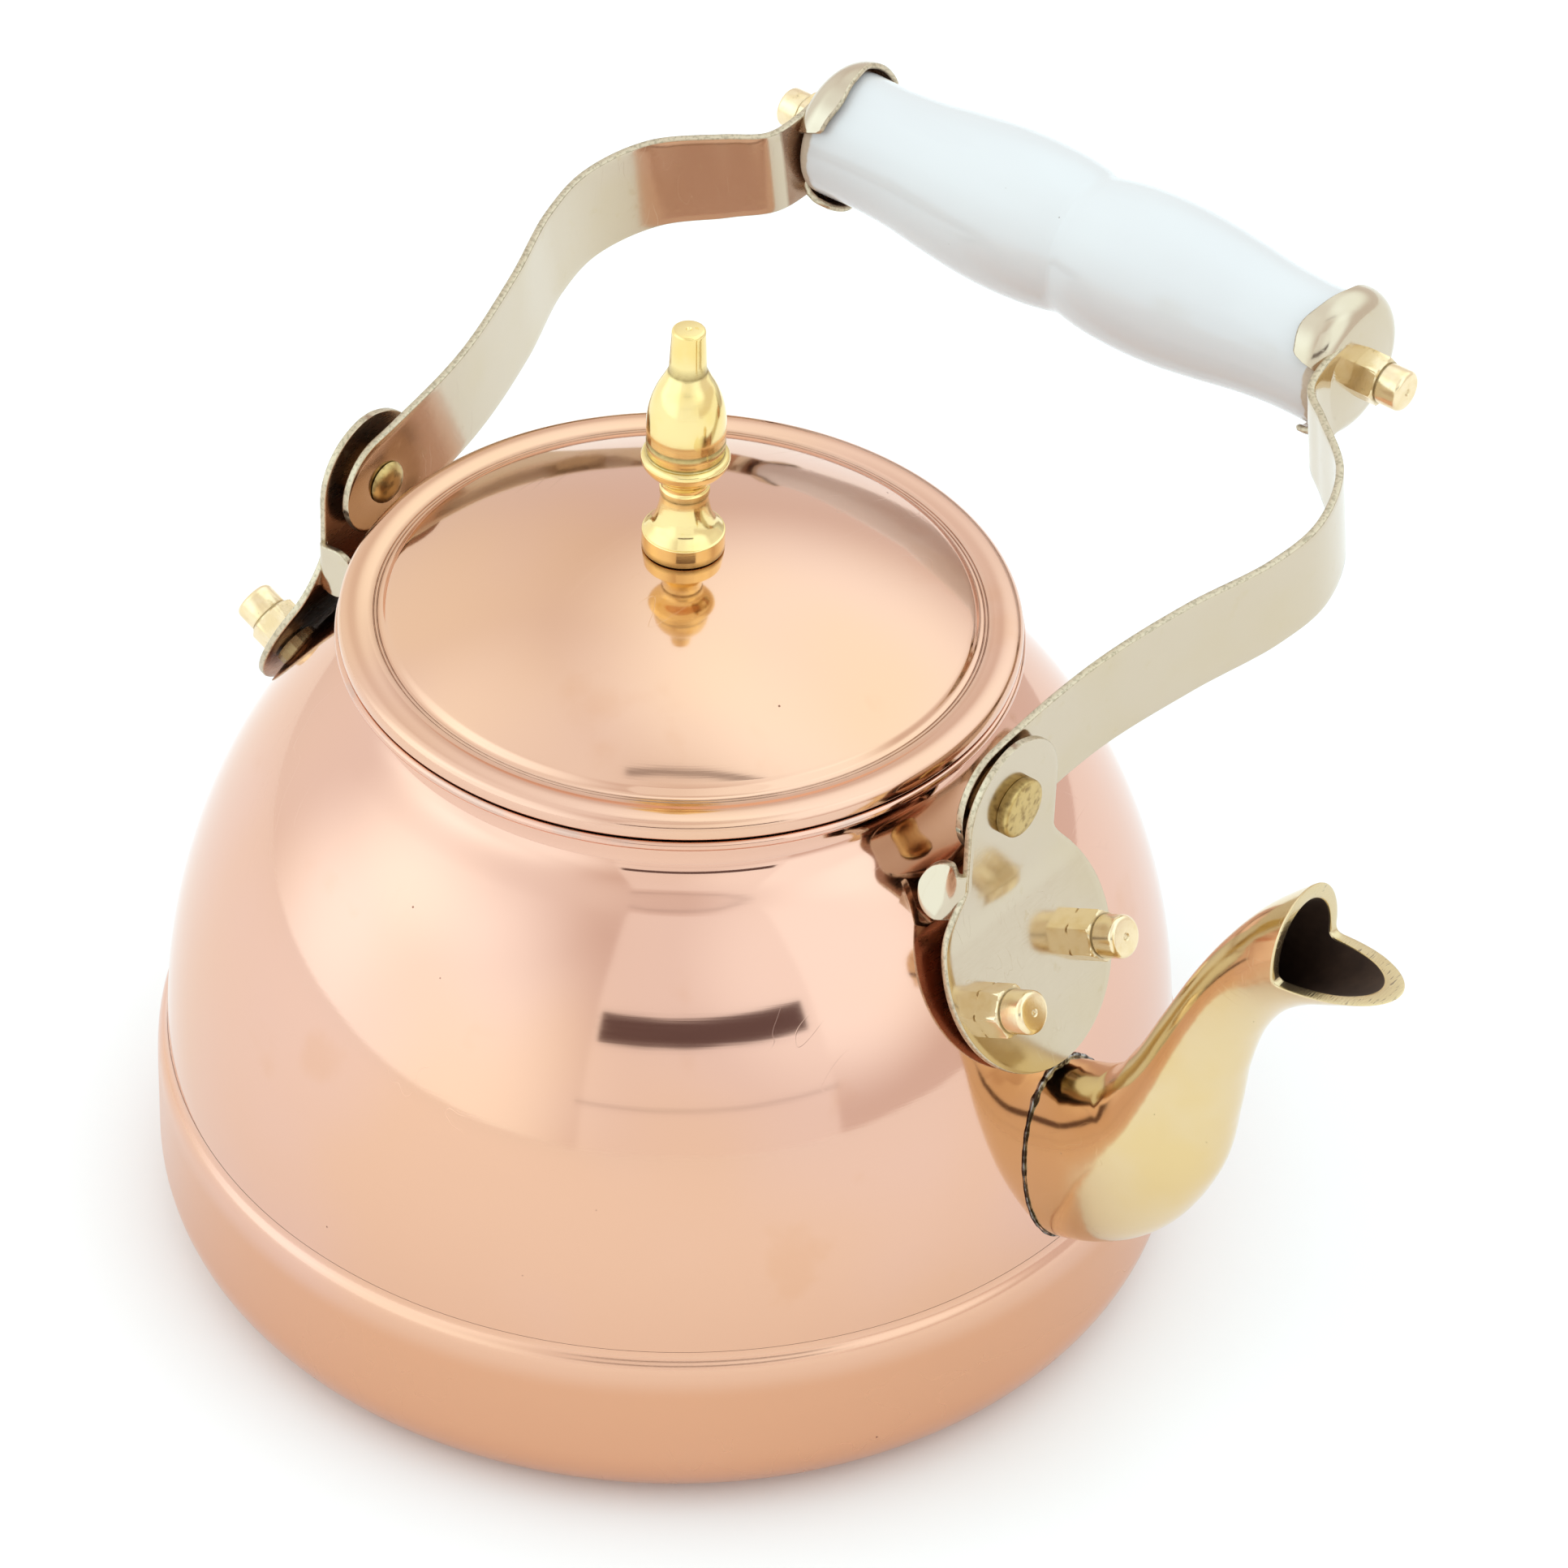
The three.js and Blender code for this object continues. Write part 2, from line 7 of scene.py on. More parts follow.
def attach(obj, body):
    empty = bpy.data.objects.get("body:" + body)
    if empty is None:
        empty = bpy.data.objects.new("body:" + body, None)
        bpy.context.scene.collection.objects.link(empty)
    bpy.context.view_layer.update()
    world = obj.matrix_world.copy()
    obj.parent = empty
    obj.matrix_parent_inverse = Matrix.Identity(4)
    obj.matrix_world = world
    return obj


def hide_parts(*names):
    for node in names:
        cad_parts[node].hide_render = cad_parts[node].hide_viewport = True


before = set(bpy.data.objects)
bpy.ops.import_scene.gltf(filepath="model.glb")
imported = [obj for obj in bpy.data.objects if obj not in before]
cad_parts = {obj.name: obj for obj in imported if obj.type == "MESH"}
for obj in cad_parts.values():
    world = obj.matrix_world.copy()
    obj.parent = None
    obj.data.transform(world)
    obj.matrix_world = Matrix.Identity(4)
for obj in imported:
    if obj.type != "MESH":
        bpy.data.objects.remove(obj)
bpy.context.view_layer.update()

tau = 2 * np.pi
metre = 0.001  # one millimetre, the unit the shapes are drawn in, in metres


# camera, floor and light

camera = {
    "place": (0.58116, -0.74002, 0.84680),
    "elevation": 38.829,
    "azimuth": 36.998,
    "roll": 2.298,
    "lens": 158.385,
}


def setCamera(cam):
    # looks down its own back axis: back = (sin a cos e, -cos a cos e, sin e), level = (cos a, sin a, 0),
    # rise = back x level; the roll turns level and rise about it, so the kettle's top tips to the right
    a, e, r = (np.radians(cam[key]) for key in ("azimuth", "elevation", "roll"))
    back = np.array([np.sin(a) * np.cos(e), -np.cos(a) * np.cos(e), np.sin(e)])
    level = np.array([np.cos(a), np.sin(a), 0])
    rise = np.cross(back, level)
    right = level * np.cos(r) + rise * np.sin(r)
    up = rise * np.cos(r) - level * np.sin(r)
    data = bpy.data.cameras.new("camera")
    data.lens, data.sensor_width, data.clip_end = cam["lens"], 36, 20
    shot = bpy.data.objects.new("camera", data)
    turn = Matrix((right, up, back)).transposed().to_4x4()
    shot.matrix_world = Matrix.Translation(cam["place"]) @ turn
    bpy.context.scene.collection.objects.link(shot)
    bpy.context.scene.camera = shot


setCamera(camera)
print("camera set")


# shader sums

class Wire:
    # a socket that ordinary sums can be written on
    def __init__(self, tree, socket=None):
        self.tree, self.socket = tree, socket

    def node(self, kind, settings, inputs, output=0):
        # any node by its type: settings first, then its sockets, linked where a wire is given
        made = self.tree.nodes.new(kind)
        for key, value in settings.items():
            if key == "stops":
                while len(made.color_ramp.elements) < len(value):
                    made.color_ramp.elements.new(0.5)
                for stop, (place, colour) in zip(made.color_ramp.elements, value):
                    stop.position, stop.color = place, (*colour, 1)
            else:
                setattr(made, key, value)
        for key, value in inputs.items():
            if isinstance(value, Wire):
                self.tree.links.new(value.socket, made.inputs[key])
            else:
                made.inputs[key].default_value = value
        return Wire(self.tree, made.outputs[output])

    def sum(self, operation, first, second):
        # one Math node
        return self.node("ShaderNodeMath", {"operation": operation}, {0: first, 1: second})

    def __add__(self, other): return self.sum("ADD", self, other)
    def __radd__(self, other): return self.sum("ADD", other, self)
    def __sub__(self, other): return self.sum("SUBTRACT", self, other)
    def __rsub__(self, other): return self.sum("SUBTRACT", other, self)
    def __mul__(self, other): return self.sum("MULTIPLY", self, other)
    def __rmul__(self, other): return self.sum("MULTIPLY", other, self)
    def __pow__(self, other): return self.sum("POWER", self, other)
    def __abs__(self): return self.sum("ABSOLUTE", self, 0.0)

    def above(self, low, high):
        # 0 below low, 1 above high, smooth between; low may be the larger
        if low > high:
            return 1 - self.above(high, low)
        ramp = {"interpolation_type": "SMOOTHSTEP"}
        return self.node("ShaderNodeMapRange", ramp, {0: self, 1: low, 2: high})

    def blend(self, first, second):
        # two colours, or numbers as greys, mixed by this value
        ends = [c if isinstance(c, Wire) else (*c, 1.0) for c in (first, second)]
        return self.node("ShaderNodeMix", {"data_type": "RGBA"}, {0: self, 6: ends[0], 7: ends[1]}, 2)

    def stretch(self, factors):
        # each part of a vector times its own factor
        return self.node("ShaderNodeVectorMath", {"operation": "MULTIPLY"}, {0: self, 1: factors})

    def noise(self, scale, detail=3.0, output=0):
        # cloudy noise around 0.5; scale is in clouds per millimetre
        return self.node("ShaderNodeTexNoise", {}, {"Vector": self, "Scale": scale, "Detail": detail}, output)

    def specks(self, scale, size):
        # small round spots in about a third of the cells of a grid of random cells
        spot = self.node("ShaderNodeTexVoronoi", {}, {"Vector": self, "Scale": scale})
        pick = self.node("ShaderNodeTexVoronoi", {}, {"Vector": self, "Scale": scale}, 1)
        chosen = pick.node("ShaderNodeSeparateColor", {}, {0: pick})
        return spot.above(size, size * 0.5) * chosen.above(0.62, 0.66)

    def hairlines(self, scale, width):
        # thin wandering lines where a smooth noise passes its middle value
        return abs(self.noise(scale, 1.0) - 0.5).above(width, 0.0)


def startFinish(name):
    # an empty material and the place of a point in its object, in millimetres
    material = bpy.data.materials.new(name)
    material.use_nodes = True
    material.node_tree.nodes.clear()
    wire = Wire(material.node_tree)
    place = wire.node("ShaderNodeTexCoord", {}, {}, 3).stretch((1 / metre, 1 / metre, 1 / metre))
    return material, wire, place


def endFinish(wire, changing, fixed, bump=None):
    # one metal or glaze shader; bump is (height in millimetres, strength)
    shader = wire.node("ShaderNodeBsdfPrincipled", {}, {**fixed, **changing})
    if bump:
        normal = wire.node("ShaderNodeBump", {}, {"Height": bump[0], "Strength": bump[1], "Distance": metre})
        wire.tree.links.new(normal.socket, shader.socket.node.inputs["Normal"])
    end = wire.tree.nodes.new("ShaderNodeOutputMaterial")
    wire.tree.links.new(shader.socket, end.inputs["Surface"])


def mark(wire, name):
    # a number painted on the piece's own points
    return wire.node("ShaderNodeAttribute", {"attribute_name": name}, {}, 2)


def spread(wire, place):
    # distance from the kettle's axis; x, y and z; and radius and height with a trace of the angle,
    # for turned marks
    parts = [wire.node("ShaderNodeSeparateXYZ", {}, {0: place}, k) for k in range(3)]
    radius = wire.node("ShaderNodeVectorMath", {"operation": "LENGTH"}, {0: place.stretch((1, 1, 0))}, 1)
    trace = parts[0] * 0.02 + parts[1] * 0.012
    rings = wire.node("ShaderNodeCombineXYZ", {}, {0: radius, 1: parts[2], 2: trace})
    return radius, parts, rings


# finishes

copperLook = {
    "rose": (0.735, 0.445, 0.34),
    "orange": (0.74, 0.432, 0.292),
    "band": (0.69, 0.355, 0.205),
    "stain": (0.66, 0.33, 0.17),
    "speck": (0.16, 0.06, 0.035),
    "tin": (0.55, 0.42, 0.36),
    "lidRose": (0.74, 0.455, 0.335),
    "lidOrange": (0.755, 0.46, 0.295),
    "grime": (0.10, 0.045, 0.028),
    # heights where the pan's redder band fades, of the rubbed lip and of the dirty crease below it
    "bandEdge": (33.0, 28.0),
    "lip": (122.3, 130.0),
    "crease": (118.6, 121.4),
}


def copperFinish(name, look, kind):
    # rose and orange copper in wide clouds, with stains, specks, hairlines and turning marks in the polish
    rose, orange = (look["lidRose"], look["lidOrange"]) if kind == "lid" else (look["rose"], look["orange"])
    material, wire, place = startFinish(name)
    radius, parts, rings = spread(wire, place)
    warm = place.noise(0.014, 2.0).above(0.38, 0.62)
    colour = warm.blend(rose, orange)
    cloud = place.noise(0.05, 4.0).above(0.62, 0.76) * 0.22
    colour = cloud.blend(colour, look["stain"])
    if kind == "pan":
        # the straight band below the step is a little redder and has a satin grain
        band = parts[2].above(*look["bandEdge"])
        colour = (band * 0.8).blend(colour, look["band"])
    spots = place.specks(0.11, 0.030)
    colour = (spots * 0.85).blend(colour, look["speck"])
    lines = place.stretch((1.0, 0.18, 0.55)).hairlines(0.16, 0.0035)
    lines = lines * place.noise(0.035, 1.0).above(0.52, 0.62)
    polish = rings.noise(1.9, 2.0)
    rough = 0.055 + polish * 0.04 + cloud * 0.12 + lines * 0.12 + spots * 0.3
    if kind == "pan":
        rough = rough + 0.14
    if kind == "lid":
        line = mark(wire, "groove")
        colour = (line * (0.3 + place.noise(0.5, 3.0) * 0.6)).blend(colour, look["grime"])
        rough = rough + line * 0.3 + radius.above(53.0, 54.0) * 0.05
    if kind == "dome":
        # the rolled lip is rubbed down to grey tin, with dirt in the crease below it
        low, high = look["lip"]
        raw = parts[2].above(low, low + 0.7) * radius.above(56.3, 57.4) * parts[2].above(high, high - 5)
        raw = raw * place.noise(0.12, 4.0).above(0.48, 0.66) * 0.5
        colour = raw.blend(colour, look["tin"])
        low, high = look["crease"]
        crease = parts[2].above(low, low + 1.4) * parts[2].above(high, high - 0.8)
        dirt = crease * place.noise(0.25, 3.0).above(0.35, 0.7) * 0.7
        colour = dirt.blend(colour, look["grime"])
        rough = rough + raw * 0.2 + dirt * 0.3
    height = place.noise(0.045, 2.0) * 0.05 + rings.noise(2.4, 1.0) * 0.0012 - lines * 0.004 - spots * 0.02
    endFinish(wire, {"Base Color": colour, "Roughness": rough}, {"Metallic": 1.0}, (height, 1.0))
    return material


brassLook = {
    "knob": {"base": (0.88, 0.69, 0.32), "deep": (0.84, 0.58, 0.15), "dark": (0.16, 0.09, 0.02)},
    "cast": {
        "base": (0.73, 0.56, 0.325), "deep": (0.72, 0.51, 0.21), "dark": (0.055, 0.025, 0.015),
        "filed": (0.60, 0.49, 0.30), "burnt": (0.20, 0.15, 0.12),
        "boreDark": ((0.028, 0.014, 0.009), (0.085, 0.045, 0.028)),
    },
    "sheet": {
        "base": (0.61, 0.51, 0.385), "deep": (0.59, 0.48, 0.31), "dark": (0.20, 0.16, 0.10),
        # back is a painted shade colour for the back faces that lie in shade
        "back": (0.34, 0.20, 0.13),
    },
    "turned": {"base": (0.88, 0.71, 0.46), "deep": (0.78, 0.57, 0.27), "dark": (0.12, 0.08, 0.03)},
    "worn": {"base": (0.60, 0.43, 0.17), "deep": (0.44, 0.29, 0.10), "dark": (0.22, 0.13, 0.05)},
    "bronze": {"base": (0.30, 0.19, 0.09), "deep": (0.22, 0.13, 0.06), "dark": (0.08, 0.05, 0.03)},
}


def knobFinish(name, look):
    # yellow brass, deeper in clouds and upright smears, with dirt where the profile turns in
    material, wire, place = startFinish(name)
    radius, parts, rings = spread(wire, place)
    tone = place.noise(0.13, 3.0).above(0.42, 0.7)
    colour = (tone * 0.45).blend(look["base"], look["deep"])
    grime = mark(wire, "groove") * (0.45 + place.noise(0.9, 3.0) * 0.6)
    colour = grime.blend(colour, look["dark"])
    smear = place.stretch((1.0, 1.0, 0.25)).noise(0.45, 4.0).above(0.64, 0.70) * 0.55
    colour = smear.blend(colour, look["deep"])
    lathe = rings.noise(5.5, 1.0)
    rough = 0.10 + lathe * 0.06 + grime * 0.4 + smear * 0.2
    height = lathe * 0.0035 + place.noise(0.3, 2.0) * 0.012
    endFinish(wire, {"Base Color": colour, "Roughness": rough}, {"Metallic": 1.0}, (height, 1.0))
    return material


def castFinish(name, look):
    # cast brass with pits and scratches; the rim is filed and burnt in strokes, and the bore is near black
    # inside
    material, wire, place = startFinish(name)
    tone = place.noise(0.05, 3.0).above(0.4, 0.68)
    colour = (tone * 0.5).blend(look["base"], look["deep"])
    pits = place.specks(0.42, 0.055)
    colour = (pits * 0.8).blend(colour, look["dark"])
    filed = mark(wire, "filed")
    strokes = place.stretch((3.6, 0.5, 1.6)).noise(1.1, 2.0)
    colour = (filed * 0.55).blend(colour, look["filed"])
    burnt = filed * strokes.above(0.60, 0.68) * place.noise(0.16, 1.0).above(0.46, 0.60)
    colour = (burnt * 0.75).blend(colour, look["burnt"])
    # the inner skin is blended to near black, made half as metallic and rougher
    inner = mark(wire, "inner")
    boreDark = place.noise(0.35, 4.0).blend(*look["boreDark"])
    colour = inner.blend(colour, boreDark)
    lines = place.stretch((0.3, 1.0, 0.8)).hairlines(0.3, 0.004) * place.noise(0.06, 1.0).above(0.5, 0.6)
    rough = 0.10 + place.noise(0.4, 3.0) * 0.05 + lines * 0.12 + pits * 0.3 + filed * 0.12 + inner * 0.45
    height = place.noise(0.10, 2.0) * 0.11 - pits * 0.05 - lines * 0.004 + filed * strokes * 0.03
    metal = 1 - inner * 0.5
    endFinish(wire, {"Base Color": colour, "Roughness": rough, "Metallic": metal}, {}, (height, 1.0))
    return material


def sheetFinish(name, look):
    # pale rolled brass with a fine grain along it, rusty cut edges, and painted shade on the back faces: a
    # browner colour that stands in for the shade falling there
    material, wire, place = startFinish(name)
    tone = place.noise(0.045, 3.0).above(0.42, 0.7)
    colour = (tone * 0.4).blend(look["base"], look["deep"])
    edge = mark(wire, "edge")
    rust = edge * place.noise(1.6, 4.0).above(0.45, 0.65)
    colour = (edge * 0.35).blend(colour, look["deep"])
    colour = (rust * 0.45).blend(colour, look["dark"])
    # painted shade: the back mark browns the back faces as if shade fell on them
    back = mark(wire, "back") * (0.75 + place.noise(0.4, 3.0) * 0.3)
    colour = back.blend(colour, look["back"])
    spots = place.specks(0.35, 0.03)
    colour = (spots * 0.4).blend(colour, look["dark"])
    cloud = place.noise(0.35, 4.0).above(0.62, 0.72) * 0.3
    colour = cloud.blend(colour, look["deep"])
    lines = place.stretch((0.7, 1.0, 0.3)).hairlines(0.35, 0.004) * place.noise(0.1, 1.0).above(0.48, 0.58)
    grain = place.stretch((1.0, 0.12, 1.0)).noise(3.0, 2.0)
    rough = 0.11 + grain * 0.07 + edge * 0.2 + cloud * 0.2 + lines * 0.12 + back * 0.15
    height = place.noise(0.10, 2.0) * 0.05 + grain * 0.0015 - spots * 0.004 - lines * 0.004 - rust * 0.008
    endFinish(wire, {"Base Color": colour, "Roughness": rough}, {"Metallic": 1.0}, (height, 1.0))
    return material


def turnedFinish(name, look, wear):
    # lathe-cut brass with dirt in its grooves; wear from 0 to 1 adds blotches, dents and roughness
    material, wire, place = startFinish(name)
    tone = place.noise(0.35, 3.0).above(0.4, 0.7)
    colour = (tone * 0.5).blend(look["base"], look["deep"])
    grime = mark(wire, "groove") * (0.35 + place.noise(1.2, 3.0) * 0.7)
    colour = grime.blend(colour, look["dark"])
    blotch = place.noise(0.7, 5.0).above(0.66 - 0.2 * wear, 0.76 - 0.02 * wear)
    blotch = blotch * (0.35 + 0.3 * wear)
    colour = blotch.blend(colour, look["dark"])
    cutLines = place.stretch((1.0, 1.0, 0.35)).noise(3.4, 2.0)
    rough = 0.17 + cutLines * 0.10 + grime * 0.4 + blotch * 0.25 + 0.14 * wear
    height = cutLines * 0.005 + place.noise(0.7, 2.0) * (0.015 + 0.04 * wear)
    endFinish(wire, {"Base Color": colour, "Roughness": rough}, {"Metallic": 1.0}, (height, 1.0))
    return material


porcelainLook = {
    "glaze": (0.685, 0.675, 0.665),
    "shade": (0.65, 0.63, 0.625),
    "bare": (0.50, 0.38, 0.27),
    "speck": (0.22, 0.15, 0.12),
    "clay": (0.62, 0.50, 0.38),
    "bareFrom": 55.5,
}


def porcelainFinish(name, look):
    # white glaze with faint pools and specks that stops in a wandering line near the ends, over bare clay
    material, wire, place = startFinish(name)
    along = abs(wire.node("ShaderNodeSeparateXYZ", {}, {0: place}))
    tint = place.noise(0.03, 2.0).above(0.35, 0.7)
    colour = (tint * 0.35).blend(look["glaze"], look["shade"])
    pool = place.stretch((0.3, 1.0, 1.0)).noise(0.10, 3.0).above(0.60, 0.72) * 0.2
    colour = pool.blend(colour, look["shade"])
    spots = place.specks(0.16, 0.035)
    colour = (spots * 0.7).blend(colour, look["speck"])
    edge = along + (place.noise(0.28, 2.0) - 0.5) * 2.2
    bare = edge.above(look["bareFrom"] - 0.25, look["bareFrom"] + 0.25)
    clay = place.noise(1.4, 3.0).blend(look["bare"], look["clay"])
    colour = bare.blend(colour, clay)
    rough = 0.10 + place.noise(0.2, 2.0) * 0.05 + bare * 0.5 + spots * 0.2
    height = place.noise(0.07, 2.0) * 0.10 - spots * 0.04 + bare * place.noise(2.0, 3.0) * 0.03
    fixed = {"Metallic": 0.0, "IOR": 1.5, "Subsurface Weight": 0.0}
    endFinish(wire, {"Base Color": colour, "Roughness": rough}, fixed, (height, 1.0))
    return material


solderLook = {"dark": (0.055, 0.035, 0.025), "bright": (0.60, 0.58, 0.55), "middle": 54.0}


def solderFinish(name, look):
    # dark crumbly solder that brightens away from the spout's middle height
    material, wire, place = startFinish(name)
    tone = place.noise(0.8, 5.0)
    height = wire.node("ShaderNodeSeparateXYZ", {}, {0: place}, 2)
    ends = abs(height - look["middle"]).above(13.0, 17.0)
    bright = tone.above(0.42, 0.62) * (0.35 + 0.65 * ends)
    colour = bright.blend(look["dark"], look["bright"])
    rough = 0.24 + tone * 0.3
    endFinish(wire, {"Base Color": colour, "Roughness": rough}, {"Metallic": 1.0}, (tone * 0.25, 1.0))
    return material


finish = {
    "copperDome": copperFinish("polishedCopperDome", copperLook, "dome"),
    "copperPan": copperFinish("satinCopperPan", copperLook, "pan"),
    "copperLid": copperFinish("polishedCopperLid", copperLook, "lid"),
    "knob": knobFinish("yellowKnobBrass", brassLook["knob"]),
    "cast": castFinish("castSpoutBrass", brassLook["cast"]),
    "sheet": sheetFinish("paleSheetBrass", brassLook["sheet"]),
    "turned": turnedFinish("turnedNutBrass", brassLook["turned"], 0.0),
    "worn": turnedFinish("wornRivetBrass", brassLook["worn"], 1.0),
    "bronze": turnedFinish("dullHiddenBrass", brassLook["bronze"], 0.4),
    "porcelain": porcelainFinish("whitePorcelain", porcelainLook),
    "solder": solderFinish("dullSolder", solderLook),
}
print("finishes made")


# meshes from grids

def addPiece(name, shells, look, body, nodes, sharp=40.0, marks=None):
    # each shell is a grid of points in millimetres, closed round its columns: a face joins a point, the next
    # one round, and the same two in the row after; doubled points at seams and poles are merged
    quads, first = [], 0
    for points in shells:
        rows, columns = points.shape[:2]
        grid = first + np.arange(rows * columns).reshape(rows, columns)
        right = np.roll(grid, -1, 1)
        quads.append(np.stack([grid[:-1], right[:-1], right[1:], grid[1:]], -1).reshape(-1, 4))
        first += rows * columns
    places = np.concatenate([points.reshape(-1, 3) for points in shells]) * metre
    data = bpy.data.meshes.new(name)
    data.from_pydata(places.tolist(), [], np.concatenate(quads).tolist())
    for key, values in (marks or {}).items():
        painted = np.concatenate([np.ravel(value) for value in values]).astype(np.float32)
        data.attributes.new(key, "FLOAT", "POINT").data.foreach_set("value", painted)
    bm = bmesh.new()
    bm.from_mesh(data)
    bmesh.ops.remove_doubles(bm, verts=bm.verts, dist=2e-7)
    bmesh.ops.dissolve_degenerate(bm, edges=bm.edges, dist=1e-7)
    bmesh.ops.recalc_face_normals(bm, faces=bm.faces)
    bm.to_mesh(data)
    bm.free()
    data.polygons.foreach_set("use_smooth", np.ones(len(data.polygons), bool))
    data.set_sharp_from_angle(angle=np.radians(sharp))
    data.materials.append(finish[look])
    piece = bpy.data.objects.new(name, data)
    bpy.context.scene.collection.objects.link(piece)
    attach(piece, body)
    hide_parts(*nodes)
    return piece


def turnedShell(profile, columns=192):
    # a profile of (radius, height) turned round Z: x = radius cos angle, y = radius sin angle, z = height
    angle = np.arange(columns) * tau / columns
    r, z = np.asarray(profile, float).T
    return np.stack([r[:, None] * np.cos(angle), r[:, None] * np.sin(angle),
                     np.repeat(z[:, None], columns, 1)], -1)


def placed(shell, origin, across, up, out):
    # a shell drawn about Z set on a frame: its X goes across, its Y up and its Z out
    basis = np.array([across, up, out], float)
    return shell @ basis + np.asarray(origin, float)


def halfTurn(shell):
    # half a turn about Z: x and y change sign
    return shell * np.array([-1, -1, 1])


def bezier(p0, p1, p2, p3, count):
    # cubic curve through its first and last points, bent by the middle two: the four weighed by
    # (1 - t)^3, 3 t (1 - t)^2, 3 t^2 (1 - t) and t^3
    t = np.linspace(0, 1, count)[:, None]
    a, b, c, d = (np.asarray(p, float) for p in (p0, p1, p2, p3))
    return a * (1 - t) ** 3 + 3 * b * t * (1 - t) ** 2 + 3 * c * t ** 2 * (1 - t) + d * t ** 3


def arc(centre, radius, start, end, count):
    # part of a circle, or of an ellipse for two radii, from one angle to another in degrees
    a = np.radians(np.linspace(start, end, count))
    r = np.broadcast_to(radius, 2)
    return np.stack([centre[0] + r[0] * np.cos(a), centre[1] + r[1] * np.sin(a)], 1)


def joined(*parts):
    # pieces of a profile laid end to end, with points closer than a millionth dropped
    line = np.concatenate([np.atleast_2d(np.asarray(p, float)) for p in parts])
    keep = np.r_[True, np.linalg.norm(np.diff(line, axis=0), axis=1) > 1e-6]
    return line[keep]


def offsetLine(line, distance):
    # each point plus distance times its unit normal; positive goes to the right of the line's direction
    along = np.gradient(line, axis=0)
    along /= np.linalg.norm(along, axis=1)[:, None]
    return line + distance * np.stack([along[:, 1], -along[:, 0]], 1)


def softLine(points, step):
    # a smooth curve through points: a cubic between each pair, its slopes from the neighbours
    p = np.asarray(points, float)
    gaps = np.sqrt(np.linalg.norm(np.diff(p[:, :2], axis=0), axis=1))
    t = np.r_[0, np.cumsum(gaps)]
    chord = np.diff(p, axis=0) / gaps[:, None]
    inner = (chord[:-1] * gaps[1:, None] + chord[1:] * gaps[:-1, None]) / (gaps[1:] + gaps[:-1])[:, None]
    slope = np.vstack([chord[:1], inner, chord[-1:]])
    at = np.linspace(0, t[-1], step)
    k = np.clip(np.searchsorted(t, at, side="right") - 1, 0, len(gaps) - 1)
    h, s = gaps[k][:, None], ((at - t[k]) / gaps[k])[:, None]
    return ((2 * s ** 3 - 3 * s ** 2 + 1) * p[k] + (s ** 3 - 2 * s ** 2 + s) * h * slope[k]
            + (3 * s ** 2 - 2 * s ** 3) * p[k + 1] + (s ** 3 - s ** 2) * h * slope[k + 1])


def smooth(value, low, high):
    # 0 below low, 1 above high, easing at both ends: t * t * (3 - 2 t)
    t = np.clip((value - low) / (high - low), 0, 1)
    return t * t * (3 - 2 * t)


# kettle body

bodyShape = {
    "radius": 92.0,
    "bandTop": 28.0,
    "corner": 14.0,
    "wall": 1.6,
    "domeRadius": 90.1,
    "domeFoot": 24.0,
    "domeWall": 1.2,
    "shoulder": (61.0, 108.5),
    "neckRadius": 54.0,
    "neckTop": 118.6,
    "mouthRadius": 52.9,
    "lipRadius": 58.6,
    "lipHeight": 122.75,
    "bead": 0.9,
    "columns": 256,
}


def domeOutside():
    # the dome's outer profile as (radius, height): a straight foot, two cubic curves up to the neck,
    # and two more that flare the lip
    s = bodyShape
    r, n, top = s["domeRadius"], s["neckRadius"], s["neckTop"]
    low = bezier((r, 36), (r, 62), (81.5, 91), s["shoulder"], 90)
    neck = bezier(s["shoulder"], (57.5, 111.5), (n, 113), (n, 116.5), 30)
    crease = bezier((n, top), (n, 120.0), (54.3, 120.5), (56.0, 120.8), 12)
    flare = bezier((56.0, 120.8), (57.3, 121.1), (58.3, 121.5), (58.9, 121.9), 10)
    return joined([(r, s["domeFoot"])], low, neck, [(n, top)], crease, flare)


def buildBody(s):
    # both are profiles turned round the axis. The dome's inside is its outside moved in by the sheet;
    # the pan is a flat, a quarter circle, a straight band and a shoulder that closes onto the dome
    outside = domeOutside()
    lipPoints = 23  # the crease and the flare, which have no inside of their own
    bead = arc((s["lipRadius"], s["lipHeight"]), s["bead"], -55, 95, 16)
    top, m = s["lipHeight"] + s["bead"], s["mouthRadius"]
    mouth = bezier((s["lipRadius"], top), (56.0, top + 0.1), (m, top + 0.2), (m, 121.0), 14)
    inside = offsetLine(outside[:-lipPoints], -s["domeWall"])[::-1]
    foot = [(s["domeRadius"] - s["domeWall"], s["domeFoot"]), (s["domeRadius"], s["domeFoot"])]
    dome = turnedShell(joined(outside, bead, mouth, inside, foot), s["columns"])
    addPiece("dome", [dome], "copperDome", "kettle_body", ["body_dome"], 50)

    r, c, w, top = s["radius"], s["corner"], s["wall"], s["bandTop"]
    flat = np.stack([np.r_[0, np.linspace(6, r - c, 10)], np.zeros(11)], 1)
    band = np.stack([np.full(8, r), np.linspace(c, top, 8)], 1)
    crest = (r - 1.1, top + 7.35)
    shoulder = bezier((r, top), (r, top + 4.4), (r - 0.1, top + 6.3), crest, 26)
    fillet = bezier(crest, (r - 1.5, top + 7.8), (r - 1.8, top + 8.2), (r - 1.87, top + 9.4), 12)
    profile = joined(flat, arc((r - c, c), c, -90, 0, 26), band, shoulder, fillet, [(r - 1.9, top + 8.5)],
                     [(r - w, c)], arc((r - c, c), c - w, 0, -90, 20), [(0, w)])
    pan = turnedShell(profile, s["columns"])
    addPiece("bottomPan", [pan], "copperPan", "kettle_body", ["base_pan"], 60)


buildBody(bodyShape)
print("body built")


# lid and knob

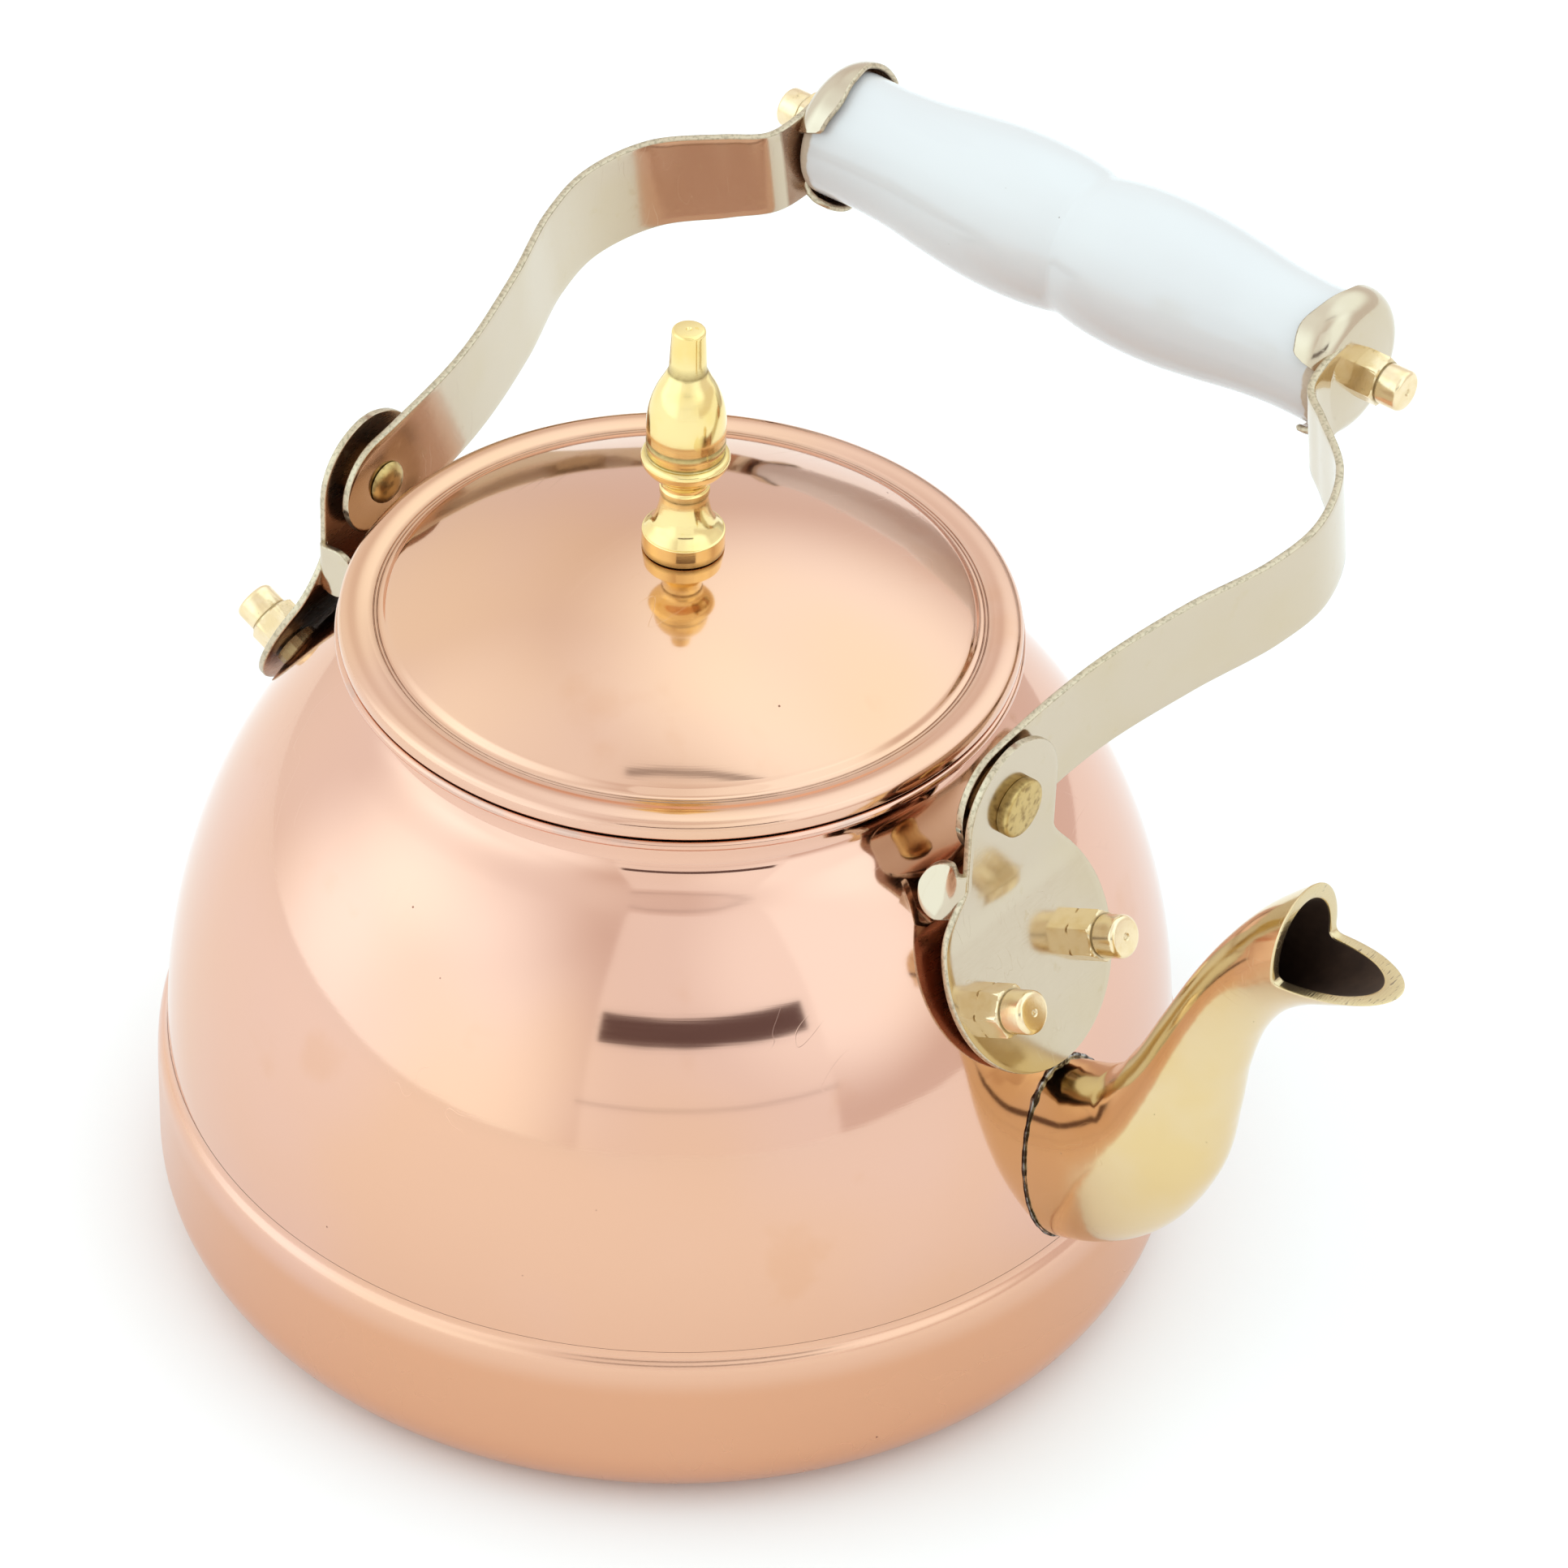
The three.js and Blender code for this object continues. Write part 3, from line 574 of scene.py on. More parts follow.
lidShape = {
    "radius": 59.0,
    "edge": 124.0,
    "rimUnder": 127.6,
    "groove": (53.0, 126.9),
    "seat": 141.2,
    "hole": 2.4,
    "sheet": 1.1,
    "lines": (52.15, 52.75),
    "lineDepth": 0.14,
    "lineSpread": 0.13,
    "step": 50.2,
    "hem": 0.55,
    "skirtRadius": 52.2,
    "skirtFoot": 111.0,
}


def buildLid(s):
    # the cap is a profile turned round the axis: part of a sphere with height = seat - crown
    # + sqrt(crown^2 - radius^2), a small step, two scribed lines, a rolled rim and its hem
    gr, gz = s["groove"]
    rise = s["seat"] - gz
    crown = (gr ** 2 + rise ** 2) / (2 * rise)
    r = np.linspace(s["hole"], s["step"], 70)
    dome = np.stack([r, s["seat"] - crown + np.sqrt(crown ** 2 - r ** 2)], 1)
    flat = gz + 0.25
    step, end = s["step"], dome[-1]
    shelf = bezier(end, (step + 0.7, end[1] - 0.42), (step + 0.9, flat + 0.05), (step + 1.7, flat), 10)
    d = s["lineDepth"]
    cuts = [np.array([(at - 0.15, flat), (at - 0.05, flat - d), (at + 0.05, flat - d), (at + 0.15, flat)])
            for at in s["lines"]]
    lines = joined(shelf, *cuts, [(gr + 0.7, flat)])
    out, low, hem = s["radius"], s["edge"], s["hem"]
    crest = (gr + 4.0, flat + 0.3)
    rim = joined(bezier((gr + 0.7, flat), (gr + 2.0, flat + 0.42), (gr + 2.8, flat + 0.5), crest, 16),
                 bezier(crest, (gr + 5.2, flat + 0.1), (out, flat - 0.7), (out, low + 1.2), 20))
    top = joined(dome, lines, rim, arc((out - hem, low + hem), hem, 0, -90, 8))
    lift = s["rimUnder"]
    rimInside = bezier((out - 2 * hem, low + 0.4), (out - 1.15, lift - 0.55), (gr + 2.4, lift - 0.7),
                       (gr - 0.4, flat - 1.2), 20)
    profile = joined(top, rimInside, (dome - [0, s["sheet"]])[::-1], dome[:1])
    r, z = profile.T
    deep = sum(np.exp(-((r - at) / s["lineSpread"]) ** 2) for at in s["lines"])
    deep = deep * (z > flat - 2 * d) * (z < flat + 0.2)
    columns = bodyShape["columns"]
    marks = {"groove": [np.repeat(deep[:, None], columns, 1)]}
    addPiece("lidCap", [turnedShell(profile, columns)], "copperLid", "lid", ["lid_cap"], 50, marks)

    # the skirt is a tube with a rounded foot whose top turns in under the cap
    r, z = s["skirtRadius"], s["skirtFoot"]
    foot = [(r - 1.0, z + 0.2), (r - 0.7, z), (r - 0.3, z), (r, z + 0.3)]
    wall = np.stack([np.full(6, r), np.linspace(z + 1, 123.6, 6)], 1)
    over = bezier((r, 123.6), (r, 124.8), (r - 1.0, 125.3), (r - 5.0, 126.0), 10)
    under = bezier((r - 5.0, 125.2), (r - 2.0, 124.8), (r - 1.0, 124.4), (r - 1.0, 123.2), 8)
    skirt = turnedShell(joined(foot, wall, over, under, foot[:1]), 192)
    addPiece("lidSkirt", [skirt], "copperLid", "lid", ["lid_skirt"], 45)


buildLid(lidShape)

knobShape = {
    "foot": 141.26,
    "tip": 185.9,
    "bore": 2.4,
    "boreTop": 12.0,
    "footRadius": 7.15,
    "neckRadius": 4.0,
    "collarRadius": 7.65,
    "acornRadius": 6.8,
    "pinRadius": 3.2,
    # height above the foot and spread of the dirt in each inward turn
    "dirt": ((19.8, 0.28), (22.4, 0.22), (36.4, 0.3), (11.3, 0.3), (0.2, 0.3)),
    "columns": 128,
}


def buildKnob(s):
    # one profile turned round the axis: foot band, hollow flare, ringed neck, collar, acorn and pin
    foot, tip = s["foot"], s["tip"]
    base, neck, collar, acorn, pin = (s[k + "Radius"] for k in ("foot", "neck", "collar", "acorn", "pin"))

    def above(radius, *steps):
        # points (radius + change, foot + height) from pairs of change and height
        return [(radius + change, foot + height) for change, height in steps]

    line = joined(
        [(s["bore"], foot), (base - 0.9, foot - 0.05)],
        arc((base - 0.15, foot + 0.08), 0.15, -90, 0, 4),
        above(base, (0, 1.2), (0, 3.2)),
        arc((base - 0.18, foot + 3.3), 0.18, 0, 75, 5),
        softLine(above(base, (-0.25, 3.5), (-0.8, 4.1), (-1.7, 5.2))
                 + above(neck, (0.8, 6.8), (0.4, 8.4), (0.15, 9.9), (0.1, 10.9)), 36),
        above(neck, (0.1, 11.3), (0.3, 11.5), (0.3, 12.5), (0.1, 12.7)),
        bezier(*above(neck, (0, 12.9), (0.1, 15.0)), *above(collar, (-1.4, 15.4), (-0.25, 17.6)), 14),
        arc((collar - 0.95, foot + 18.5), (0.95, 1.05), -40, 95, 12),
        above(acorn, (0.05, 19.45), (-0.2, 19.75), (-0.12, 20.2), (-0.1, 21.0), (-0.02, 21.15),
              (-0.02, 22.3), (-0.1, 22.45)),
        softLine(above(acorn, (-0.1, 22.5), (0.02, 25.0), (-0.15, 27.8), (-0.7, 30.3), (-1.65, 32.8),
                       (-2.65, 34.7)) + above(pin, (0.3, 36.0)), 44),
        above(pin, (0.12, 36.3), (0.02, 36.6), (-0.05, 38.5)),
        [(pin - 0.28, tip - 1.1)],
        arc((pin - 0.88, tip - 0.6), 0.6, 0, 90, 7),
        [(0.55, tip), (0.35, tip - 0.25), (0, tip - 0.3)],
    )
    # dirt gathers where the profile turns inwards
    z = line[:, 1] - foot
    dirt = sum(np.exp(-((z - at) / width) ** 2) for at, width in s["dirt"])
    boreTop = foot + s["boreTop"]
    profile = joined(line, [(0, boreTop), (s["bore"], boreTop), (s["bore"], foot)])
    groove = np.zeros(len(profile))
    groove[:len(line)] = np.clip(dirt, 0, 1)
    marks = {"groove": [np.repeat(groove[:, None], s["columns"], 1)]}
    knob = turnedShell(profile, s["columns"])
    addPiece("acornKnob", [knob], "knob", "lid", ["knob"], 38, marks)


buildKnob(knobShape)
print("lid and knob built")


# spout

spoutShape = {
    # the centre line and its ellipse: x, z, half height, half width
    "stations": [
        (70, 54, 17.6, 12.0), (76, 54, 17.6, 12.0), (88, 54.8, 17.4, 12.2), (98, 60, 15.8, 12.8),
        (106, 69.5, 13.0, 12.2), (110.3, 81, 10.4, 10.3), (113.5, 92.5, 8.5, 8.6), (117.8, 104.5, 7.5, 7.7),
        (123, 113.8, 7.7, 7.8), (129.5, 121.5, 8.9, 9.0), (138, 128.3, 10.4, 10.6), (147, 134.5, 11.4, 11.8),
        (156, 140, 12.0, 12.4),
    ],
    "wall": 2.2,
    "tipThinning": 0.75,
    "thinFrom": 0.62,
    "thinTo": 0.85,
    "rimBulge": 0.0035,
    "rimStart": 0.0016,
    "notch": (131.0, 121.0),
    "backPeak": (130.2, 137.0),
    "frontTip": (150.0, 123.1),
    "rounding": 1.7,
    # shares of the centre line: the foot ends before the first, the mouth is looked for after it
    "footBefore": 0.35,
    "columns": 200,
    "rows": 150,
    "rimRows": 13,
    "solder": {"lift": 0.25, "thin": 0.14, "thick": 0.34},
}


def spoutPoint(line, t, angle, inset):
    # an ellipse carried along the centre line: its high axis lies across the line in the XZ plane.
    # point = centre + across * cos angle * (half height - inset) + Y * sin angle * (half width - inset)
    at = t * (len(line) - 1)
    k = np.clip(at.astype(int), 0, len(line) - 2)
    f = (at - k)[..., None]
    here = line[k] * (1 - f) + line[k + 1] * f
    along = np.gradient(line[:, :2], axis=0)
    along /= np.linalg.norm(along, axis=1)[:, None]
    way = along[k] * (1 - f) + along[k + 1] * f
    mouthWall = spoutShape["wall"] - spoutShape["tipThinning"] * ((1 - np.cos(angle)) / 2) ** 3
    late = smooth(t, spoutShape["thinFrom"], spoutShape["thinTo"])
    thin = inset * (1 - (1 - mouthWall / spoutShape["wall"]) * late)
    high = np.cos(angle) * (here[..., 2] - thin)
    wide = np.sin(angle) * (here[..., 3] - thin)
    return np.stack([here[..., 0] - way[..., 1] * high, wide, here[..., 1] + way[..., 0] * high], -1)


def mouthDepth(points, s):
    # positive in the wedge that is cut away: above the front line and right of the back line, smoothly joined
    n, b, f = (np.array(s[k]) for k in ("notch", "backPeak", "frontTip"))
    q = np.stack([points[..., 0], points[..., 2]], -1) - n
    front, back = (f - n) / np.linalg.norm(f - n), (b - n) / np.linalg.norm(b - n)
    aboveFront = q[..., 1] * front[0] - q[..., 0] * front[1]
    rightOfBack = q[..., 0] * back[1] - q[..., 1] * back[0]
    k = s["rounding"]
    h = np.clip(0.5 + 0.5 * (aboveFront - rightOfBack) / k, 0, 1)
    return rightOfBack * h + aboveFront * (1 - h) - k * h * (1 - h)


def outsideDome(points):
    # distance from the kettle's axis less the dome's own radius at that height
    line = domeOutside()
    return np.hypot(points[..., 0], points[..., 1]) - np.interp(points[..., 2], line[:, 1], line[:, 0])


def crossing(test, low, high, steps=40):
    # halves the range again and again to find where a rising test passes zero, for all columns at once
    for _ in range(steps):
        middle = (low + high) / 2
        over = test(middle) > 0
        low, high = np.where(over, low, middle), np.where(over, middle, high)
    return (low + high) / 2


def firstOver(test, columns):
    # the first step along each line where the test is over zero, then halved to an exact place
    steps = np.linspace(spoutShape["footBefore"], 1, 400)
    over = np.stack([test(np.full(columns, t)) > 0 for t in steps])
    k = np.where(over.any(0), over.argmax(0), len(steps) - 1)
    return crossing(test, steps[np.maximum(k - 1, 0)], steps[k])


def buildSpout(s):
    # outer skin from the dome to the mouth, a rim, and the inner skin back again, all on the same angles
    line = softLine(s["stations"], 500)
    columns, wall = s["columns"], s["wall"]
    angle = np.arange(columns) * tau / columns
    low, high = np.zeros(columns), np.full(columns, s["footBefore"])

    def skin(t, inset, rows):
        return spoutPoint(line, t, np.broadcast_to(angle, (rows, columns)), inset)

    ends = []
    for inset in (0.0, wall):
        start = crossing(lambda t: outsideDome(spoutPoint(line, t, angle, inset)) + 0.6, low, high)
        stop = firstOver(lambda t: mouthDepth(spoutPoint(line, t, angle, inset), s), columns)
        ends.append((start, stop))
    (a, b), (c, d) = ends
    count, rimCount, nip = s["rows"], s["rimRows"], s["rimStart"]
    rows = np.linspace(0, 1, count)[:, None]
    outer = skin(a + (b - nip - a) * rows, 0.0, count)
    inner = skin(d - nip + (c - d + nip) * rows, wall, count)
    # the rim is a filed face with soft edges: a flattened half round from the outer to the inner skin
    over = np.linspace(0.06, np.pi - 0.06, rimCount)[:, None]
    share = (1 - np.cos(over)) / 2
    rim = skin(b + (d - b) * share + s["rimBulge"] * np.sin(over) ** 0.6, wall * share, rimCount)
    closing = spoutPoint(line, a, angle, 0.0)[None]
    shell = np.concatenate([outer, rim, inner, closing])
    filed, dark = np.zeros(shell.shape[:2]), np.zeros(shell.shape[:2])
    filed[count + 2:count + rimCount - 2] = 1
    dark[count + rimCount - 1:-1] = 1
    marks = {"filed": [filed], "inner": [dark]}
    addPiece("spoutCasting", [shell], "cast", "kettle_body", ["spout"], 42, marks)

    # the solder is a thin tube along the line where the spout's skin meets the dome, thick and thin by turns:
    # point = path + thickness * (0.8 cos * outward + 1.2 sin * sideways)
    solder = s["solder"]
    sides = (np.arange(12) * tau / 12)[:, None, None]
    lift = -solder["lift"]
    foot = crossing(lambda t: outsideDome(spoutPoint(line, t, angle, lift)) - 0.15, low, high)
    path = spoutPoint(line, foot, angle, lift)
    along = np.roll(path, -1, 0) - np.roll(path, 1, 0)
    along /= np.linalg.norm(along, axis=1)[:, None]
    outward = path * [1, 1, 0]
    outward = outward / np.linalg.norm(outward, axis=1)[:, None]
    side = np.cross(along, outward)
    side /= np.linalg.norm(side, axis=1)[:, None]
    top = np.cos(angle / 2) ** 16
    waves = np.sin(9 * angle + 1) + np.sin(17 * angle) + np.sin(31 * angle + 2)
    thick = solder["thin"] + solder["thick"] * top + (0.03 + 0.07 * top) * waves
    bulge = np.cos(sides) * outward * 0.8 + np.sin(sides) * side * 1.2
    ring = path + thick[:, None] * bulge
    shell = np.concatenate([ring, ring[:1]])
    addPiece("spoutSolderLine", [shell], "solder", "kettle_body", ["spout_solder"], 60)


buildSpout(spoutShape)
print("spout built")


# sheet metal

def sheetStrip(path, halfWidth, thickness, across=13):
    # a path in the XZ plane swept sideways along Y by a changing half width, with softened cut edges:
    # point = path + normal * n, with y from -half width to half width and n half the thickness either way;
    # returns the shell, a mark that is 1 on the cut edges and a mark that is 1 on the back, where painted
    # shade goes
    h = thickness / 2
    soft = thickness * 0.22
    out = offsetLine(path, 1.0) - path
    w = np.maximum(halfWidth, 0)[:, None]
    flat = np.linspace(-1, 1, across)
    bend = np.radians([90, 60, 30, 0])
    e = np.minimum(soft, w)
    top = (w - e) * flat
    faceUp = np.concatenate([top, w - e + e * np.cos(bend[1:]), w - e + e * np.cos(bend[1:][::-1])], 1)
    fall = h - soft + soft * np.sin(bend[1:])
    level = np.concatenate([np.full(across, h), fall, -fall[::-1]])
    y = np.concatenate([faceUp, -top, -faceUp[:, across:]], 1)
    n = np.concatenate([level, np.full(across, -h), -level[across:]])
    edge = np.concatenate([np.zeros(across), np.ones(6), np.zeros(across), np.ones(6)])
    back = np.concatenate([np.zeros(across + 6), np.ones(across), np.zeros(6)])
    n = np.broadcast_to(n, y.shape)
    x, z = (path[:, None, k] + out[:, None, k] * n for k in (0, 1))
    points = np.stack([x, y, z], -1)
    marked = np.broadcast_to(edge, y.shape).copy()
    marked[:1] = marked[-1:] = 1
    ends = [row.mean(1, keepdims=True) + 0 * row for row in (points[:1], points[-1:])]
    shell = np.concatenate([ends[0], points, ends[1]])
    return shell, np.concatenate([marked[:1], marked, marked[-1:]]), np.tile(back, (len(shell), 1))


def easedSteps(length, count, endA, endB):
    # distances along a strip, packed closely over the rounded ends: end * (1 - cos) of even angles
    quarter = np.linspace(0, np.pi / 2, 22)
    a = endA * (1 - np.cos(quarter))
    b = length - endB * (1 - np.cos(quarter[::-1]))
    return np.r_[a, np.linspace(endA, length - endB, count)[1:-1], b]


bracketShape = {
    "face": 72.0,
    "sheet": 1.3,
    "pivotHeight": 122.0,
    "earRadius": 12.2,
    "fillet": 4.0,
    "bendHeight": 103.6,
    "lean": 26.0,
    "padRadius": 21.0,
    "padCentre": 12.0,
    "tabHeights": (104.6, 113.8),
    "tabLength": 9.0,
    "tabSide": 13.7,
    "tabBend": 1.75,
    "tabLean": {"front": 25.0, "rear": 6.0},
}


def bracketShells(s, end):
    # the plate is a bent path from the ear's top to the pad's foot; its half width is the larger of the two
    # circles sqrt(radius^2 - distance^2), eased where they cross. Two tabs bend inwards from its edges
    earTop = s["pivotHeight"] + s["earRadius"]
    bendAt = earTop - s["bendHeight"]
    centre = bendAt + s["padCentre"]
    length = centre + s["padRadius"]
    v = easedSteps(length, 90, s["earRadius"], s["padRadius"])
    fine = np.linspace(0, length, 2000)
    angle = np.radians(s["lean"]) * smooth(fine, bendAt - 4.0, bendAt + 4.0)
    step = fine[1]
    x = np.r_[0, np.cumsum(np.sin(angle[1:]) * step)]
    z = np.r_[0, -np.cumsum(np.cos(angle[1:]) * step)]
    path = np.stack([np.interp(v, fine, x) + s["face"] - s["sheet"] / 2, np.interp(v, fine, z) + earTop], 1)
    ear = np.sqrt(np.maximum(s["earRadius"] ** 2 - np.minimum(v - s["earRadius"], 0) ** 2, 0))
    pad = np.sqrt(np.maximum(s["padRadius"] ** 2 - (v - centre) ** 2, 0))
    near = np.maximum(1 - np.abs(ear - pad) / s["fillet"], 0)
    half = np.where(v < centre, np.maximum(ear, pad) + s["fillet"] / 4 * near ** 2, pad)
    shells = [sheetStrip(path[::-1], half[::-1], s["sheet"], 25)]
    low, high = s["tabHeights"]
    reach = (high - low) / 2
    for hand in (-1, 1):
        # the tab leaves the ear's edge, turns inwards and ends round
        inside, side, turn = s["face"] - s["sheet"] / 2, s["tabSide"] - s["sheet"] / 2, s["tabBend"]
        bend = arc((inside - turn, side - turn), turn, 0, 90, 14)
        lead = np.array([[inside, 8.0], [inside, 10.5]])
        reached = np.linspace(s["face"] - 3.0, s["face"] - s["tabLength"], 30)
        tail = np.stack([reached, np.full(30, side)], 1)
        line = joined(lead, bend, tail)
        run = np.r_[0, np.cumsum(np.linalg.norm(np.diff(line, axis=0), axis=1))]
        at = easedSteps(run[-1], 30, 0.01, reach)
        line = np.stack([np.interp(at, run, line[:, 0]), np.interp(at, run, line[:, 1])], 1)
        past = at - (run[-1] - reach)
        w = np.where(past > 0, np.sqrt(np.maximum(reach ** 2 - past ** 2, 0)), reach)
        shell, edge, back = sheetStrip(line, w, s["sheet"] * 0.98, 9)
        # drawn as (x, width, y): stand the width upright and mirror for the other hand
        x, y, z = shell[..., 0], shell[..., 2], shell[..., 1]
        lean = np.tan(np.radians(s["tabLean"][end])) * smooth(s["face"] - x, 1.0, 4.5)
        shell = np.stack([x, hand * (y - z * lean), (low + high) / 2 + z], -1)
        shells.append((shell, edge, 0 * back))
    return shells


def sameWay(shell):
    return shell


# every fitting is drawn for the spout's side and turned for the other
ways = {"front": sameWay, "rear": halfTurn}


def buildBrackets(s):
    # one plate each side, the rear one turned half round
    for end, turn in ways.items():
        shells, edges, shadedBacks = zip(*bracketShells(s, end))
        # painted shade: the plates' back faces take the browner back colour, and the tabs take none
        marks = {"edge": edges, "back": shadedBacks}
        addPiece(end + "BracketPlate", [turn(p) for p in shells], "sheet", "kettle_body",
                 [end + "_bracket"], 50, marks)


buildBrackets(bracketShape)


def folded(points):
    # the upright bail turned about X through the pivots and laid onto the stops:
    # y' = y cos + z sin, z' = z cos - y sin + pivot height
    a = np.radians(bailShape["fold"])
    x, y, z = np.moveaxis(points, -1, 0)
    return np.stack([x, y * np.cos(a) + z * np.sin(a),
                     z * np.cos(a) - y * np.sin(a) + bracketShape["pivotHeight"]], -1)


bailShape = {
    "fold": 80.0,
    "sheet": 1.4,
    "halfWidth": 10.0,
    # the strap's side view, upright: x and height above the pivot
    "line": [(67.9, -12), (67.9, 6), (69.6, 26), (74.6, 46), (80.4, 63), (81.6, 75), (77, 87.5), (67, 96.5),
             (60.6, 102), (58.95, 108.5), (58.9, 114)],
    "rodHeight": 118.2,
    "cupFace": 59.6,
    "cupRadius": 14.2,
    "cupRound": 5.0,
    "cupSheet": 1.2,
    "crown": 0.7,
    "flange": 5.2,
    # the flange is deepest this far round from the strap, over this spread, in degrees
    "lobe": 2.3,
    "lobeAt": 64.0,
    "lobeSpread": 32.0,
    "open": 33.0,
}


def strapShell(s):
    # the side view swept across by half width = sqrt(width^2 - distance^2) over the round end, then
    # nearly straight, with a slight hand-cut wave and a little taper towards the cup
    line = softLine(s["line"], 1200)
    run = np.r_[0, np.cumsum(np.linalg.norm(np.diff(line, axis=0), axis=1))]
    width = s["halfWidth"]
    start = np.interp(-width, line[:200, 1], run[:200])
    gone = easedSteps(run[-1] - start, 170, width, 0.01)
    at = start + gone
    path = np.stack([np.interp(at, run, line[:, 0]), np.interp(at, run, line[:, 1])], 1)
    half = np.sqrt(np.maximum(width ** 2 - np.minimum(gone - width, 0) ** 2, 0))
    taper = 1 - 0.06 * smooth(path[:, 1], 94, 103)
    half = half * taper + 0.12 * np.sin(gone / 7.0) * smooth(gone, 12, 30)
    return sheetStrip(path, half, s["sheet"], 15)


def cupShell(s):
    # a slightly domed face with its rim rolled over the grip: x = distance along the rod and
    # r = distance from it follow one profile, cut short at each angle psi where the roll stops for the strap
    columns, steps = 144, 46
    psi = np.arange(columns) * tau / columns
    away = np.degrees(np.abs((psi + np.pi) % tau - np.pi))  # from the strap's side
    radius, c, t, x0 = s["cupRadius"], s["cupRound"], s["cupSheet"], s["cupFace"]
    across = np.linspace(0, 1, 16)
    face = np.stack([across * (radius - c), x0 + s["crown"] * (1 - across ** 2)], 1)
    roll = arc((radius - c, x0 - c), c, 90, 0, 16)
    tube = np.stack([np.full(8, radius), np.linspace(x0 - c, x0 - c - 8, 8)], 1)
    line = joined(face, roll, tube)
    run = np.r_[0, np.cumsum(np.linalg.norm(np.diff(line, axis=0), axis=1))]
    waves = 0.2 * np.sin(psi * 5) + 0.12 * np.sin(psi * 11 + 1)
    depth = s["flange"] - c + s["lobe"] * np.exp(-((away - s["lobeAt"]) / s["lobeSpread"]) ** 2) + waves
    short = radius - c + 1.3
    full = radius - c + c * np.pi / 2 + depth
    stop = short + (full - short) * smooth(away, s["open"] - 5, s["open"] + 9)
    at = np.sin(np.linspace(0, np.pi / 2, steps))[:, None] * stop
    r, x = np.interp(at, run, line[:, 0]), np.interp(at, run, line[:, 1])
    slope = np.gradient(line, axis=0)
    slope /= np.linalg.norm(slope, axis=1)[:, None]
    nr, nx = np.interp(at, run, -slope[:, 1]), np.interp(at, run, slope[:, 0])  # outward
    # the cut edge is a flattened half round from the outer to the inner skin
    turn = np.radians(np.linspace(60, -60, 5))[:, None]
    up, on = 0.8 * np.sin(turn) - 1, 0.8 * np.cos(turn)
    lipR = r[-1] + t / 2 * (up * nr[-1] + on * nx[-1])
    lipX = x[-1] + t / 2 * (up * nx[-1] - on * nr[-1])
    r = np.concatenate([r, lipR, (r - t * nr)[::-1]])
    x = np.concatenate([x, lipX, (x - t * nx)[::-1]])
    r[0] = r[-1] = 0
    shell = np.stack([x, np.sin(psi) * r, s["rodHeight"] - np.cos(psi) * r], -1)
    # edge marks the cut lip; back marks the inner skin, which takes painted shade
    edge, back = np.zeros(shell.shape[:2]), np.zeros(shell.shape[:2])
    edge[steps - 1:steps + 5] = 1
    back[steps + 5:] = 1
    return shell, edge, back


def buildBail(s):
    # a strap and its cup make one piece each side, turned for the rear and then folded down
    strap, strapEdge, strapShadedBack = strapShell(s)
    cup, cupEdge, cupShadedBack = cupShell(s)
    # painted shade: the strap's back is browned only near the cup, and the cup's inner skin is browned all
    # over
    high = (strap[..., 2] > s["rodHeight"] - s["cupRadius"]) * strapShadedBack
    marks = {"edge": [strapEdge, cupEdge], "back": [high, cupShadedBack]}
    for end, turn in ways.items():
        shells = [folded(turn(strap)), folded(turn(cup))]
        addPiece(end + "BailStrap", shells, "sheet", "bail", [end + "_strap"], 50, marks)


buildBail(bailShape)
print("sheet metal built")


# nuts and rivets

nutShape = {
    "flats": 8.2,
    "hex": 5.0,
    "cap": 3.8,
    "capHeight": 4.8,
    "below": 16.0,
    "apart": 13.0,
    "columns": 120,
}


def nutShell(s):
    # a hexagon with a chamfered top, a fine step, and a shorter round cap with a centre dot:
    # radius = the smaller of the profile's and, up to the hexagon's top, flat / cos(angle within a side)
    phi = np.arange(s["columns"]) * tau / s["columns"]
    across = s["flats"] / 2
    hexagon = across / np.cos((phi + np.pi / 6) % (np.pi / 3) - np.pi / 6)
    corner = across / np.cos(np.pi / 6)
    h, c, top = s["hex"], s["cap"], s["hex"] + s["capHeight"]
    # radius, height, dirt
    rows = [(0, 0, 0), (corner - 0.5, 0, 0), (corner - 0.1, 0.25, 0), (corner, 0.4, 0), (corner, 2.2, 0),
            (corner, h - 0.45, 0), (corner - 0.25, h - 0.25, 0.1), (across - 0.05, h, 0.3),
            (c + 0.05, h + 0.02, 0.7), (c - 0.12, h + 0.05, 0.8), (c - 0.12, h + 0.22, 0.6),
            (c - 0.02, h + 0.35, 0.2), (c, h + 0.6, 0), (c, top - 1.0, 0)]
    rows += [(r, z, 0) for r, z in arc((c - 1.0, top - 1.0), 1.0, 15, 90, 7)]
    rows += [(0.75, top, 0), (0.5, top - 0.22, 0.4), (0.3, top - 0.12, 0.2), (0, top - 0.12, 0)]
    r, z, dirt = (column[:, None] for column in np.array(rows).T)
    radius = np.minimum(r, np.where(z <= h, hexagon, r))
    shell = np.stack([radius * np.cos(phi), radius * np.sin(phi), z + 0 * radius], -1)
    return shell, dirt + 0 * radius


